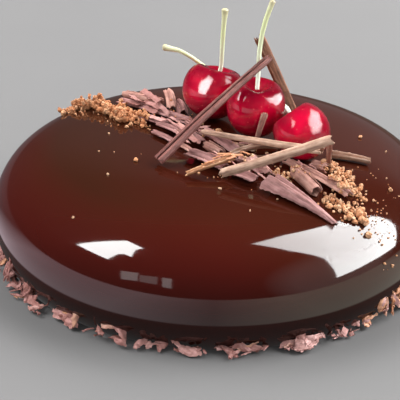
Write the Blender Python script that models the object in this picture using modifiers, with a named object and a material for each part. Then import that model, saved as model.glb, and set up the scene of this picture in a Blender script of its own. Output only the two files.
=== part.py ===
"""Mousse cake: a round mirror-glazed cake, decorated with a diagonal band of cherries,
chocolate curls and biscuit crumbs, with chocolate shavings round its foot.

The origin is the middle of the cake's flat bottom, +Z up. The front of the cake faces -Y.
Sizes below are in millimetres, and to_m() turns them into Blender's metres.
"""

import math
import random

import bmesh
import bpy
from mathutils import Matrix, Vector
from mathutils.bvhtree import BVHTree

# ---------------------------------------------------------------- driving sizes, in mm
CAKE_RADIUS = 90.5
CAKE_HEIGHT = 44.0
WIDEST_HEIGHT = 12.9          # the side is widest here and tucks in below
FOOT_RADIUS = 86.0
TOP_SHARPNESS = 5.55          # how flat the top stays on its way out to the edge
SIDE_SHARPNESS = 2.23         # how straight the side stays on its way up
PROFILE_STEPS = 10
CAKE_SIDES = 60
GAP = 0.4                     # clearance between pieces that rest on each other
BURIED_DEPTH = 0.5            # how far a crumb sinks into the glaze

# name: (place of the middle, widest diameter, height, lean about x and about y in
# degrees, direction of the seam)
CHERRIES = {
    "cherry_left": ((-2.2, 19.6, 56.2), 26.2, 22.8, (-11.0, 13.0), 125.0),
    "cherry_middle": ((15.2, 0.9, 56.6), 24.2, 23.8, (3.0, 3.0), -92.0),
    "cherry_right": ((32.8, -19.9, 55.0), 22.2, 21.0, (-21.0, -39.0), 150.0),
}
CHERRY_SIDES = 18
CHERRY_RINGS = 12
PIT_DEPTH = 0.45              # of half the cherry's height
PIT_WIDTH = 0.42              # in radians from the stem end
SEAM_WIDTH = 0.40             # in radians round the cherry

# name: (route of the middle line, thickness at its foot, thickness at its end)
STEMS = {
    "stem_left": (((0.2, 21.2, 63.2), (1.2, 21.4, 67.5), (1.5, 20.8, 78.0),
                   (2.2, 20.8, 91.0)), 1.6, 3.0),
    "stem_middle": (((15.5, 1.2, 64.4), (15.8, 2.6, 70.0), (16.0, 4.0, 80.0),
                     (17.6, 5.0, 90.0), (20.5, 6.0, 99.0)), 1.6, 2.4),
    "stem_right": (((28.6, -17.2, 60.4), (26.6, -14.6, 62.9), (27.0, -8.9, 59.8),
                    (28.6, -3.2, 55.0), (29.0, 3.4, 53.8), (25.4, 11.2, 56.0),
                    (17.8, 15.0, 61.0), (12.2, 16.8, 62.8), (11.8, 22.2, 60.2),
                    (9.2, 28.8, 58.8), (3.6, 33.8, 58.6), (-2.8, 35.4, 59.4), (-7.9, 33.4, 63.7),
                    (-12.0, 31.6, 67.2),
                    (-16.3, 32.5, 69.2), (-20.5, 33.5, 69.8), (-23.4, 34.6, 70.1)),
                   1.4, 2.9),
}
STEM_POINTS = 18
STEM_KNOB = 0.12              # share of the stem that swells into its end

# A sheet of chocolate, rolled or folded. The two ends are given on the plan (x, y), and
# the piece is laid level or tilted on what lies below it.
# name: (form, end a, end b, width at a, width at b, bend)
LYING_CURLS = {
    "curl_plank_long": ("bark", (-42.4, 36.8), (-10.6, 9.6), 5.4, 7.0, 0.5),
    "curl_cone": ("roll", (-41.2, 44.4), (-24.0, 29.8), 4.6, 5.6, 0.3),
    "curl_plank_side": ("bark", (-32.8, 18.0), (-14.6, 1.6), 5.4, 6.0, 0.4),
    "curl_plank_under": ("bark", (-23.6, 4.4), (-14.4, -4.4), 4.2, 4.8, 0.2),
    "curl_plank_short": ("bark", (-26.0, 1.9), (-15.8, -9.8), 3.4, 3.8, 0.3),
    "curl_chip_back": ("bark", (-21.8, 42.0), (-19.0, 19.7), 5.2, 5.4, 0.4),
    "curl_chip_cherry": ("bark", (-17.4, 35.0), (-14.6, 20.6), 6.0, 6.2, 0.4),
    "curl_flake_inner": ("bark", (-12.2, 0.0), (-5.6, -10.4), 5.8, 5.4, 0.3),
    "curl_flake_low": ("bark", (-14.4, -11.2), (-9.6, -17.2), 3.8, 3.4, 0.2),
    "curl_thin_back": ("bark", (2.1, -6.3), (14.6, -15.1), 2.4, 2.8, 0.3),
    "curl_plank_middle": ("bark", (-5.6, -2.6), (9.2, -21.2), 6.4, 7.0, 0.5),
    "curl_ring": ("roll", (-4.0, -13.6), (1.6, -21.2), 4.8, 4.8, 0.0),
    "curl_plank_double": ("bark", (-10.6, -20.9), (2.8, -33.6), 7.4, 7.4, 0.5),
    "curl_plank_front": ("bark", (4.4, -35.8), (14.0, -42.9), 5.8, 6.2, 0.4),
    "curl_gutter_left": ("gutter", (-11.4, -40.4), (6.2, -32.8), 2.4, 3.6, 0.2),
    "curl_arc_inner": ("gutter", (10.1, -27.5), (19.1, -20.9), 2.4, 2.2, 0.8),
    "curl_arc": ("gutter", (6.3, -25.3), (27.5, -12.5), 3.0, 3.2, 1.8),
    "curl_roll_wide": ("roll", (28.9, -36.9), (36.1, -50.3), 6.0, 6.0, 0.2),
    "curl_roll_small": ("roll", (36.4, -28.9), (41.4, -32.0), 4.0, 4.0, 0.0),
    "curl_splinter_right": ("bark", (26.6, -25.2), (48.2, -49.4), 5.2, 5.6, 0.5),
    "curl_bark_big": ("bark", (42.7, -63.2), (18.8, -44.4), 2.6, 11.6, 2.0),
    "curl_gutter_right": ("gutter", (43.9, -17.7), (59.6, -20.1), 4.2, 3.2, 0.3),
    "curl_plank_gap": ("bark", (7.5, -28.4), (17.2, -36.4), 4.8, 4.4, 0.4),
}
# Curls that lean: both ends are given with their heights.
# name: (form, end a, end b, width at a, width at b, bend, roll about its own length)
LEANING_CURLS = {
    "curl_scroll_long": ("scroll", (-21.9, -28.4, 46.0), (19.7, 0.8, 77.6), 6.0, 4.0, 0.6, -8.0),
    "curl_scroll_tall": ("scroll", (32.5, 17.9, 46.2), (15.8, 11.4, 82.6), 4.2, 4.4, 0.4, 90.0),
    "curl_roll_low": ("roll", (-5.5, -8.4, 49.7), (38.2, -40.6, 56.5), 2.4, 3.6, -0.7, 300.0),
    "curl_roll_top": ("roll", (1.8, -43.8, 48.0), (41.0, -43.6, 62.2), 3.8, 4.2, -0.8, 300.0),
    "curl_stick_cherry": ("bark", (15.2, -14.3, 48.4), (18.4, -12.8, 60.0), 2.4, 3.6, 0.1, 60.0),
    "curl_stick_prop": ("bark", (42.4, -26.8, 45.2), (41.0, -37.8, 59.2), 2.6, 2.8, 0.2, 0.0),
}
CURL_THICKNESS = 0.7
CURL_ROWS = 3                 # spans along a curl
NARROW_ROLL = 4.5             # a roll narrower than this is rolled less than once
PLAIN_STRIP = 2.6             # a bark strip narrower than this has no ribs
RAGGED_END = 0.9              # how far a curl's broken end is uneven
SETTLE_STEP = 0.2
SETTLE_TILTS = range(-12, 13, 2)

# Heaps of crumbs: both ends of a line on the plan, spread across it, count, range of
# sizes, layers
CRUMB_HEAPS = [
    ((-66.0, 36.0), (-46.0, 30.0), 4.0, 19, (1.8, 3.6), 3),
    ((-51.0, 30.5), (-36.5, 10.0), 2.4, 17, (1.6, 3.4), 2),
    ((43.0, -26.0), (52.0, -50.0), 5.0, 20, (1.6, 3.4), 2),
    ((48.0, -50.0), (55.0, -63.0), 4.5, 9, (1.4, 4.0), 1),
    ((18.0, -31.0), (30.0, -38.0), 4.0, 4, (1.4, 2.6), 1),
]
LOOSE_CRUMBS = [
    (-30.7, -24.8, 2.2), (-36.9, 8.0, 2.0), (58.3, 5.5, 1.8), (65.3, -35.7, 2.0),
    (0.6, 3.4, 3.0), (43.0, -35.0, 2.6), (-61.0, 41.0, 2.4),
]
CRUMB_SEED = 21

# Shavings round the foot: count, and ranges of their sizes
SHAVING_COUNT = 46
SHAVING_LENGTH = (6.0, 13.5)
SHAVING_REACH = (3.0, 8.0)     # out from the foot
SHAVING_RISE = (1.8, 7.5)      # up the side
SHAVING_THICKNESS = 0.8
SHAVING_SEED = 8
# Tall shavings: (angle round the cake in degrees, height, width)
TALL_SHAVINGS = [
    (-47.0, 15.0, 5.0), (-42.0, 19.0, 8.0), (-36.0, 14.0, 9.0),
    (-149.0, 13.0, 8.0), (-155.0, 16.0, 9.0), (-141.0, 9.0, 6.0),
    (20.0, 12.0, 7.0), (62.0, 14.0, 8.0), (118.0, 13.0, 7.0), (166.0, 12.0, 8.0),
]

DARK_GLAZE = (0.035, 0.010, 0.006)
CHERRY_RED = (0.32, 0.005, 0.020)
STEM_GREEN = (0.62, 0.64, 0.30)
MILK_CHOCOLATE = (0.36, 0.17, 0.12)


def to_m(value):
    """Millimetres to metres, for a number or a row of numbers."""
    if isinstance(value, (int, float)):
        return value * 0.001
    return Vector([part * 0.001 for part in value])


def material(name, color, roughness):
    mat = bpy.data.materials.new(name)
    mat.use_nodes = True
    shader = mat.node_tree.nodes["Principled BSDF"]
    shader.inputs["Base Color"].default_value = (*color, 1.0)
    shader.inputs["Roughness"].default_value = roughness
    shader.inputs["Metallic"].default_value = 0.0
    return mat


def new_object(name, mesh, collection, mat=None):
    obj = bpy.data.objects.new(name, mesh)
    collection.objects.link(obj)
    if mat is not None:
        mesh.materials.append(mat)
    return obj


def mesh_from(bm, name):
    mesh = bpy.data.meshes.new(name)
    bm.to_mesh(mesh)
    bm.free()
    mesh.shade_smooth()
    mesh.set_sharp_from_angle(angle=math.radians(40))
    return mesh


def evaluated_mesh(obj):
    """The object's mesh with its modifiers, in world space."""
    depsgraph = bpy.context.evaluated_depsgraph_get()
    depsgraph.update()
    mesh = bpy.data.meshes.new_from_object(obj.evaluated_get(depsgraph))
    mesh.transform(obj.matrix_world)
    return mesh


# ---------------------------------------------------------------- the cake's body
def glaze_radius(height):
    """Radius of the cake's side at a height, in mm."""
    if height >= WIDEST_HEIGHT:
        rise = (height - WIDEST_HEIGHT) / (CAKE_HEIGHT - WIDEST_HEIGHT)
        return CAKE_RADIUS * max(1.0 - rise ** SIDE_SHARPNESS, 0.0) ** (1 / TOP_SHARPNESS)
    tuck = (1.0 - height / WIDEST_HEIGHT) ** 2
    return CAKE_RADIUS - (CAKE_RADIUS - FOOT_RADIUS) * tuck


def glaze_height(x, y):
    """Height of the cake's top at a point of the plan, in mm."""
    reach = min(math.hypot(x, y) / CAKE_RADIUS, 0.9999)
    drop = max(1.0 - reach ** TOP_SHARPNESS, 0.0) ** (1 / SIDE_SHARPNESS)
    return WIDEST_HEIGHT + (CAKE_HEIGHT - WIDEST_HEIGHT) * drop


def cake_body(collection, mat):
    """The turned body, with its profile from the top's middle down to the flat foot."""
    profile = [(0.0, CAKE_HEIGHT)]
    for step in range(1, PROFILE_STEPS):
        angle = 0.5 * math.pi * (1.0 - step / PROFILE_STEPS)
        radius = CAKE_RADIUS * math.cos(angle) ** (2 / TOP_SHARPNESS)
        rise = math.sin(angle) ** (2 / SIDE_SHARPNESS)
        profile.append((radius, WIDEST_HEIGHT + (CAKE_HEIGHT - WIDEST_HEIGHT) * rise))
    for height in (WIDEST_HEIGHT, 7.0, 3.0, 0.0):
        profile.append((glaze_radius(height), height))
    profile.append((0.0, 0.0))
    bm = bmesh.new()
    verts = [bm.verts.new(to_m((radius, 0.0, height))) for radius, height in profile]
    for upper, lower in zip(verts, verts[1:]):
        bm.edges.new((upper, lower))
    body = new_object("cake", mesh_from(bm, "cake"), collection, mat)
    screw = body.modifiers.new("Turn", "SCREW")
    screw.steps = CAKE_SIDES
    screw.render_steps = CAKE_SIDES
    screw.use_merge_vertices = True
    screw.merge_threshold = 0.00005
    return body


# ---------------------------------------------------------------- cherries and stems
def cherry(name, place, diameter, height, lean_angles, seam_angle, collection, mat):
    """A round fruit with a pit at the stem end, which a seam down one side runs into."""
    bm = bmesh.new()
    bmesh.ops.create_uvsphere(bm, u_segments=CHERRY_SIDES, v_segments=CHERRY_RINGS,
                              radius=1.0)
    for vert in bm.verts:
        around = math.atan2(vert.co.y, vert.co.x)
        ring = math.acos(max(-1.0, min(1.0, vert.co.z))) / math.pi
        from_stem = math.pi * ring ** 1.15
        away = math.remainder(around - math.radians(seam_angle), math.tau)
        seam = math.exp(-(away / SEAM_WIDTH) ** 2)
        shoulder = 0.06 * math.exp(-((from_stem - 1.0) / 0.5) ** 2)
        radius = math.sin(from_stem) * (1.0 + shoulder - 0.03 * seam)
        lip = 0.12 * math.exp(-((from_stem - 0.75) / 0.4) ** 2)
        pit = PIT_DEPTH * math.exp(-(from_stem / PIT_WIDTH / (1.0 + 0.5 * seam)) ** 2)
        rise = math.cos(from_stem) + lip - pit
        reach = 0.5 * diameter / 1.05 * radius
        vert.co = to_m((reach * math.cos(around), reach * math.sin(around), 0.5 * height * rise))
    fruit = new_object(name, mesh_from(bm, name), collection, mat)
    fruit.location = to_m(place)
    fruit.rotation_euler = (math.radians(lean_angles[0]), math.radians(lean_angles[1]), 0.0)
    return fruit


def smooth_route(points, count):
    """Evenly spread points on a Catmull-Rom curve through the given points."""
    knots = [Vector(point) for point in points]
    knots = [2 * knots[0] - knots[1]] + knots + [2 * knots[-1] - knots[-2]]
    spans = len(points) - 1
    route = []
    for index in range(count):
        place = index / (count - 1) * spans
        span = min(int(place), spans - 1)
        t = place - span
        a, b, c, d = knots[span:span + 4]
        route.append(0.5 * (2 * b + (c - a) * t + (2 * a - 5 * b + 4 * c - d) * t ** 2
                            + (3 * b - a - 3 * c + d) * t ** 3))
    return route


def stem(name, points, foot_width, end_width, collection, mat):
    """A thin stalk that swells where it was joined to the twig."""
    curve = bpy.data.curves.new(name, "CURVE")
    curve.dimensions = "3D"
    curve.bevel_depth = to_m(0.5 * foot_width)
    curve.bevel_resolution = 1
    curve.use_fill_caps = True
    spline = curve.splines.new("POLY")
    route = smooth_route(points, STEM_POINTS)
    spline.points.add(len(route) - 1)
    for index, place in enumerate(route):
        along = index / (len(route) - 1)
        swell = max(0.0, (along - 1.0 + STEM_KNOB) / STEM_KNOB)
        spline.points[index].co = (*to_m(place), 1.0)
        spline.points[index].radius = 1.0 + 0.25 * along + swell * (end_width / foot_width - 1.25)
    curve.materials.append(mat)
    stalk = bpy.data.objects.new(name, curve)
    collection.objects.link(stalk)
    return stalk


# ---------------------------------------------------------------- chocolate curls
def roll_section(across, width):
    """A sheet rolled up once and a bit more, seen from its end."""
    turns = 1.15
    outer = 0.5 * (width - CURL_THICKNESS)
    radius = outer - 0.95 * turns * (1.0 - across)
    if width < NARROW_ROLL:
        turns = 0.8
        radius = outer
    angle = 2 * math.pi * turns * across
    return radius * math.cos(angle), radius * math.sin(angle)


def scroll_section(across, width):
    """A sheet rolled in from both edges, with a groove between the two rolls."""
    side = -1.0 if across < 0.5 else 1.0
    inward = abs(2.0 * across - 1.0)
    outer = 0.25 * width
    angle = math.radians(-90.0 + side * 250.0 * max(0.0, inward - 0.12) / 0.88)
    radius = (outer - 0.5 * CURL_THICKNESS) * (1.0 - 0.10 * inward)
    return side * outer * 1.05 + radius * math.cos(angle), radius * math.sin(angle)


def bark_section(across, width):
    """An arched strip with ribs along it, which fade out where it is narrow."""
    centred = 2.0 * across - 1.0
    arch = 0.22 * width * (1.0 - centred ** 2)
    ribs = 0.14 * max(0.0, width - PLAIN_STRIP) * math.cos(3.0 * math.pi * across)
    return 0.5 * (width - CURL_THICKNESS) * centred, arch + ribs


def gutter_section(across, width):
    """An open channel."""
    angle = math.radians(-200.0 + 220.0 * across)
    radius = 0.5 * (width - CURL_THICKNESS)
    return radius * math.cos(angle), radius * math.sin(angle)


SECTIONS = {
    "roll": (roll_section, 12),
    "scroll": (scroll_section, 15),
    "bark": (bark_section, 7),
    "gutter": (gutter_section, 6),
}


def curl(name, form, length, width_a, width_b, bend, collection, mat):
    """A rolled or folded sheet along X, its middle at the origin."""
    section, columns = SECTIONS[form]
    draw = random.Random(name)
    rough = [[draw.uniform(-1.0, 1.0) for _ in range(columns + 1)] for _ in range(2)]
    bm = bmesh.new()
    bmesh.ops.create_grid(bm, x_segments=CURL_ROWS, y_segments=columns, size=0.5)
    for vert in bm.verts:
        along = vert.co.x + 0.5
        across = vert.co.y + 0.5
        width = width_a + (width_b - width_a) * along
        y, z = section(across, width)
        end = 0 if along < 0.5 else 1
        ragged = RAGGED_END * rough[end][round(across * columns)]
        if min(along, 1.0 - along) > 0.01:
            ragged = 0.0
        bow = bend * (1.0 - (2.0 * along - 1.0) ** 2)
        vert.co = to_m(((along - 0.5) * length + ragged, y + 0.6 * bow, z + bow))
    piece = new_object(name, mesh_from(bm, name), collection, mat)
    thick = piece.modifiers.new("Thickness", "SOLIDIFY")
    thick.thickness = to_m(CURL_THICKNESS)
    thick.offset = 0.0
    return piece


def puffed_points(piece):
    """The piece's evaluated points, moved out by the gap, in its own space."""
    depsgraph = bpy.context.evaluated_depsgraph_get()
    depsgraph.update()
    mesh = bpy.data.meshes.new_from_object(piece.evaluated_get(depsgraph))
    points = [vert.co + vert.normal * to_m(GAP) for vert in mesh.vertices]
    faces = [tuple(face.vertices) for face in mesh.polygons]
    bpy.data.meshes.remove(mesh)
    return points, faces


def is_clear(points, faces, pose, trees):
    placed = [pose @ point for point in points]
    for point in placed:
        if point.z < to_m(glaze_height(point.x * 1000, point.y * 1000)):
            return False
    tree = BVHTree.FromPolygons(placed, faces)
    return not any(tree.overlap(other) for other in trees)


def settle(piece, end_a, end_b, trees):
    """Lay a curl on the pile: the tilt and height at which its middle lies lowest."""
    points, faces = puffed_points(piece)
    middle = [(a + b) / 2 for a, b in zip(end_a, end_b)]
    heading = math.atan2(end_b[1] - end_a[1], end_b[0] - end_a[0])
    floor = min(glaze_height(*end_a), glaze_height(*end_b), glaze_height(*middle))
    best = None
    for tilt in sorted(SETTLE_TILTS, key=abs):
        turn = Matrix.Rotation(heading, 4, "Z") @ Matrix.Rotation(math.radians(-tilt), 4, "Y")
        height = floor
        while best is None or height < best[0] - 0.05:
            pose = Matrix.Translation(to_m((*middle, height))) @ turn
            if is_clear(points, faces, pose, trees):
                best = (height, pose)
                break
            height += SETTLE_STEP
    piece.matrix_world = best[1]


def lean(piece, end_a, end_b, roll):
    """Put a curl along the line between two given ends."""
    a, b = to_m(end_a), to_m(end_b)
    along = (b - a).normalized()
    side = Vector((0, 0, 1)).cross(along).normalized()
    over = along.cross(side)
    turn = Matrix((along, side, over)).transposed().to_4x4()
    piece.matrix_world = (Matrix.Translation((a + b) / 2) @ turn
                          @ Matrix.Rotation(math.radians(roll), 4, "X"))


def tree_of(obj):
    mesh = evaluated_mesh(obj)
    tree = BVHTree.FromPolygons([vert.co for vert in mesh.vertices],
                                [tuple(face.vertices) for face in mesh.polygons])
    bpy.data.meshes.remove(mesh)
    return tree


def add_curls(collection, mat, trees):
    for name, (form, end_a, end_b, *widths_bend) in LYING_CURLS.items():
        piece = curl(name, form, math.dist(end_a, end_b), *widths_bend, collection, mat)
        settle(piece, end_a, end_b, trees)
        trees.append(tree_of(piece))
    for name, (form, end_a, end_b, *widths_bend, roll) in LEANING_CURLS.items():
        piece = curl(name, form, math.dist(end_a, end_b), *widths_bend, collection, mat)
        lean(piece, end_a, end_b, roll)
        trees.append(tree_of(piece))


# ---------------------------------------------------------------- crumbs and shavings
def crumb(bm, place, size, draw):
    """One rough crumb of about the given size, in mm."""
    made = bmesh.ops.create_icosphere(bm, subdivisions=1, radius=1.0)
    stretch = Vector([draw.uniform(0.75, 1.15) for _ in range(3)])
    spin = Matrix.Rotation(draw.uniform(0, math.tau), 3, "Z")
    for vert in made["verts"]:
        rough = vert.co * draw.uniform(0.8, 1.1)
        vert.co = to_m(Vector(place) + spin @ (rough * stretch) * 0.5 * size)


def heap_places(draw):
    """Places and sizes of the crumbs in the heaps, in mm, resting on the glaze."""
    for start, finish, spread, count, sizes, layers in CRUMB_HEAPS:
        for index in range(count):
            along = (index + draw.random()) / count
            x = start[0] + (finish[0] - start[0]) * along + draw.gauss(0.0, 0.45) * spread
            y = start[1] + (finish[1] - start[1]) * along + draw.gauss(0.0, 0.45) * spread
            size = draw.uniform(*sizes)
            layer = draw.randrange(layers)
            rest = glaze_height(x, y) + 0.5 * size - BURIED_DEPTH
            yield (x, y, rest + 0.9 * layer), size
    for x, y, size in LOOSE_CRUMBS:
        yield (x, y, glaze_height(x, y) + 0.5 * size - BURIED_DEPTH), size


def add_crumbs(collection, trees):
    """Crumbs as objects of their own, those that would touch another piece left out."""
    draw = random.Random(CRUMB_SEED)
    for place, size in heap_places(draw):
        bm = bmesh.new()
        crumb(bm, place, size, draw)
        near = [tree.find_nearest(to_m(place))[3] for tree in trees]
        if min(near) > to_m(0.62 * size + GAP):
            new_object("crumb", mesh_from(bm, "crumb"), collection)
        else:
            bm.free()


def shaving(angle, low_radius, top_height, length, skew, draw, collection):
    """A bent flake that leans on the cake: its top edge in the side, its low edge out."""
    bm = bmesh.new()
    bmesh.ops.create_grid(bm, x_segments=2, y_segments=1, size=0.5)
    outward = Vector((math.cos(angle), math.sin(angle), 0.0))
    sideways = Vector((-math.sin(angle), math.cos(angle), 0.0))
    top_radius = glaze_radius(top_height) - 1.2
    low = outward * low_radius + Vector((0, 0, 0.5 * SHAVING_THICKNESS + 0.4))
    top = outward * top_radius + Vector((0, 0, top_height))
    for vert in bm.verts:
        along = vert.co.x
        across = vert.co.y + 0.5
        place = top.lerp(low, across) + sideways * (along * length + skew * (across - 0.5))
        place += outward * draw.uniform(-0.5, 0.5) - outward * 3.0 * along ** 2
        place.z += draw.uniform(-0.3, 0.5) + (1.0 - across) * draw.uniform(-1.4, 1.4)
        place.z = max(place.z, 0.5 * SHAVING_THICKNESS + 0.3)
        vert.co = to_m(place)
    flake = new_object("shaving", mesh_from(bm, "shaving"), collection)
    thick = flake.modifiers.new("Thickness", "SOLIDIFY")
    thick.thickness = to_m(SHAVING_THICKNESS)
    thick.offset = 0.0


def add_shavings(collection):
    draw = random.Random(SHAVING_SEED)
    for index in range(SHAVING_COUNT):
        angle = math.tau * (index + draw.uniform(0.1, 0.9)) / SHAVING_COUNT
        length = draw.uniform(*SHAVING_LENGTH)
        top_height = draw.uniform(*SHAVING_RISE)
        low_radius = FOOT_RADIUS + draw.uniform(*SHAVING_REACH)
        shaving(angle, low_radius, top_height, length, draw.uniform(-4.0, 4.0), draw,
                collection)
    for degrees, height, width in TALL_SHAVINGS:
        shaving(math.radians(degrees), FOOT_RADIUS + 6.0, height, width,
                draw.uniform(-3.0, 3.0), draw, collection)


def keep_largest_body(mesh):
    """Drop the loose scraps that a union can leave."""
    bm = bmesh.new()
    bm.from_mesh(mesh)
    left = set(bm.verts)
    bodies = []
    while left:
        reached = [left.pop()]
        for vert in reached:
            for edge in vert.link_edges:
                other = edge.other_vert(vert)
                if other in left:
                    left.remove(other)
                    reached.append(other)
        bodies.append(reached)
    bodies.sort(key=len)
    for scrap in bodies[:-1]:
        bmesh.ops.delete(bm, geom=scrap, context="VERTS")
    bm.to_mesh(mesh)
    bm.free()


def fuse(body, toppings):
    """Join the toppings to the cake's body by one union, applied."""
    union = body.modifiers.new("Fuse", "BOOLEAN")
    union.operation = "UNION"
    union.operand_type = "COLLECTION"
    union.collection = toppings
    union.solver = "MANIFOLD"
    mesh = evaluated_mesh(body)
    body.modifiers.clear()
    body.data = mesh
    keep_largest_body(mesh)
    for bit in list(toppings.objects):
        bpy.data.objects.remove(bit)
    bpy.data.collections.remove(toppings)


# ---------------------------------------------------------------- the whole cake
def main():
    for obj in list(bpy.data.objects):
        bpy.data.objects.remove(obj)
    cake = bpy.data.collections.new("mousse_cake")
    toppings = bpy.data.collections.new("toppings")
    bpy.context.scene.collection.children.link(cake)
    bpy.context.scene.collection.children.link(toppings)

    glaze = material("glaze", DARK_GLAZE, 0.05)
    fruit = material("cherry", CHERRY_RED, 0.15)
    stalk = material("stem", STEM_GREEN, 0.5)
    chocolate = material("chocolate", MILK_CHOCOLATE, 0.6)

    body = cake_body(cake, glaze)
    trees = []
    for name, sizes in CHERRIES.items():
        trees.append(tree_of(cherry(name, *sizes, cake, fruit)))
    for name, sizes in STEMS.items():
        trees.append(tree_of(stem(name, *sizes, cake, stalk)))
    add_curls(cake, chocolate, trees)
    add_crumbs(toppings, trees)
    add_shavings(toppings)
    fuse(body, toppings)


main()
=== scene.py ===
"""Mousse cake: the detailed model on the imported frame, with its camera, lights and materials.

Lengths are in millimetres, and coordinates inside a material in metres. Every piece rides on
the body "root".
"""

import random
from math import (acos, atan, atan2, copysign, cos, degrees, dist, exp, hypot, pi, radians,
                  remainder, sin, tau)

import bmesh
import bpy
import numpy as np
from mathutils import Matrix, Vector, noise
from mathutils.bvhtree import BVHTree


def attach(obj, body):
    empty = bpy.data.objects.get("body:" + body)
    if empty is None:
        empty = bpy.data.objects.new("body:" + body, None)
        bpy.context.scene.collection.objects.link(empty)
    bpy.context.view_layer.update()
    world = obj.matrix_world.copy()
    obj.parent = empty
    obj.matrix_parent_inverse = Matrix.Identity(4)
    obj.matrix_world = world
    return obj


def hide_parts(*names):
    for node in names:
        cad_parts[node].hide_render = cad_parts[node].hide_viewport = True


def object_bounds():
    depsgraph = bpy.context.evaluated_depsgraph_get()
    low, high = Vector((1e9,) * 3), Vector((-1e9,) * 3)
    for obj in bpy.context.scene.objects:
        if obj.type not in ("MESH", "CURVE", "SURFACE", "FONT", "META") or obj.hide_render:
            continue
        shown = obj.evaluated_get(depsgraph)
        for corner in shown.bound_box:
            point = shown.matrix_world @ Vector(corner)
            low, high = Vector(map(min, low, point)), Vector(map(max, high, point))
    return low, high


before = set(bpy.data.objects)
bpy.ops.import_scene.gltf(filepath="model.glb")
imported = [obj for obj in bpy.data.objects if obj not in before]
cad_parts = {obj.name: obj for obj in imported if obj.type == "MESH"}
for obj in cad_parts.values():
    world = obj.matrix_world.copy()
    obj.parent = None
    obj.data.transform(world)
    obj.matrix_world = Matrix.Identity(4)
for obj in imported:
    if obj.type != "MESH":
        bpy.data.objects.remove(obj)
cad_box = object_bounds()

MM = 0.001

# ---- sizes shared with the solids
CAKE_RADIUS = 90.5
CAKE_HEIGHT = 44.0
WIDEST_HEIGHT = 12.9
FOOT_RADIUS = 86.0
TOP_SHARPNESS = 5.55
SIDE_SHARPNESS = 2.23
BURIED_DEPTH = 0.5
GAP = 0.4
DOME_HEIGHT = CAKE_HEIGHT - WIDEST_HEIGHT

# name: middle, diameter, height, lean about x and y in degrees, direction of the seam
CHERRIES = {
    "cherry_left": ((-2.2, 19.6, 56.2), 26.2, 22.8, (-11.0, 13.0), 125.0),
    "cherry_middle": ((15.2, 0.9, 56.6), 24.2, 23.8, (3.0, 3.0), -92.0),
    "cherry_right": ((32.8, -19.9, 55.0), 22.2, 21.0, (-21.0, -39.0), 150.0),
}
PIT_DEPTH = 0.45
PIT_WIDTH = 0.42
SEAM_WIDTH = 0.40

# name: route from the pit to the free end, width at the pit, width of the knob at the end
STEMS = {
    "stem_left": (((0.2, 21.2, 63.2), (1.2, 21.4, 67.5), (1.5, 20.8, 78.0),
                   (2.2, 20.8, 91.0)), 1.6, 3.0),
    "stem_middle": (((15.5, 1.2, 64.4), (15.8, 2.6, 70.0), (16.0, 4.0, 80.0),
                     (17.6, 5.0, 90.0), (20.5, 6.0, 99.0)), 1.6, 2.4),
    "stem_right": (((28.6, -17.2, 60.4), (26.6, -14.6, 62.9), (27.0, -8.9, 59.8),
                    (28.6, -3.2, 55.0), (29.0, 3.4, 53.8), (25.4, 11.2, 56.0),
                    (17.8, 15.0, 61.0), (12.2, 16.8, 62.8), (11.8, 22.2, 60.2),
                    (9.2, 28.8, 58.8), (3.6, 33.8, 58.6), (-2.8, 35.4, 59.4),
                    (-7.9, 33.4, 63.7), (-12.0, 31.6, 67.2), (-16.3, 32.5, 69.2),
                    (-20.5, 33.5, 69.8), (-23.4, 34.6, 70.1)), 1.4, 2.9),
}
STEM_KNOB = 0.12              # share of the stem that widens into the knob

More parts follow.
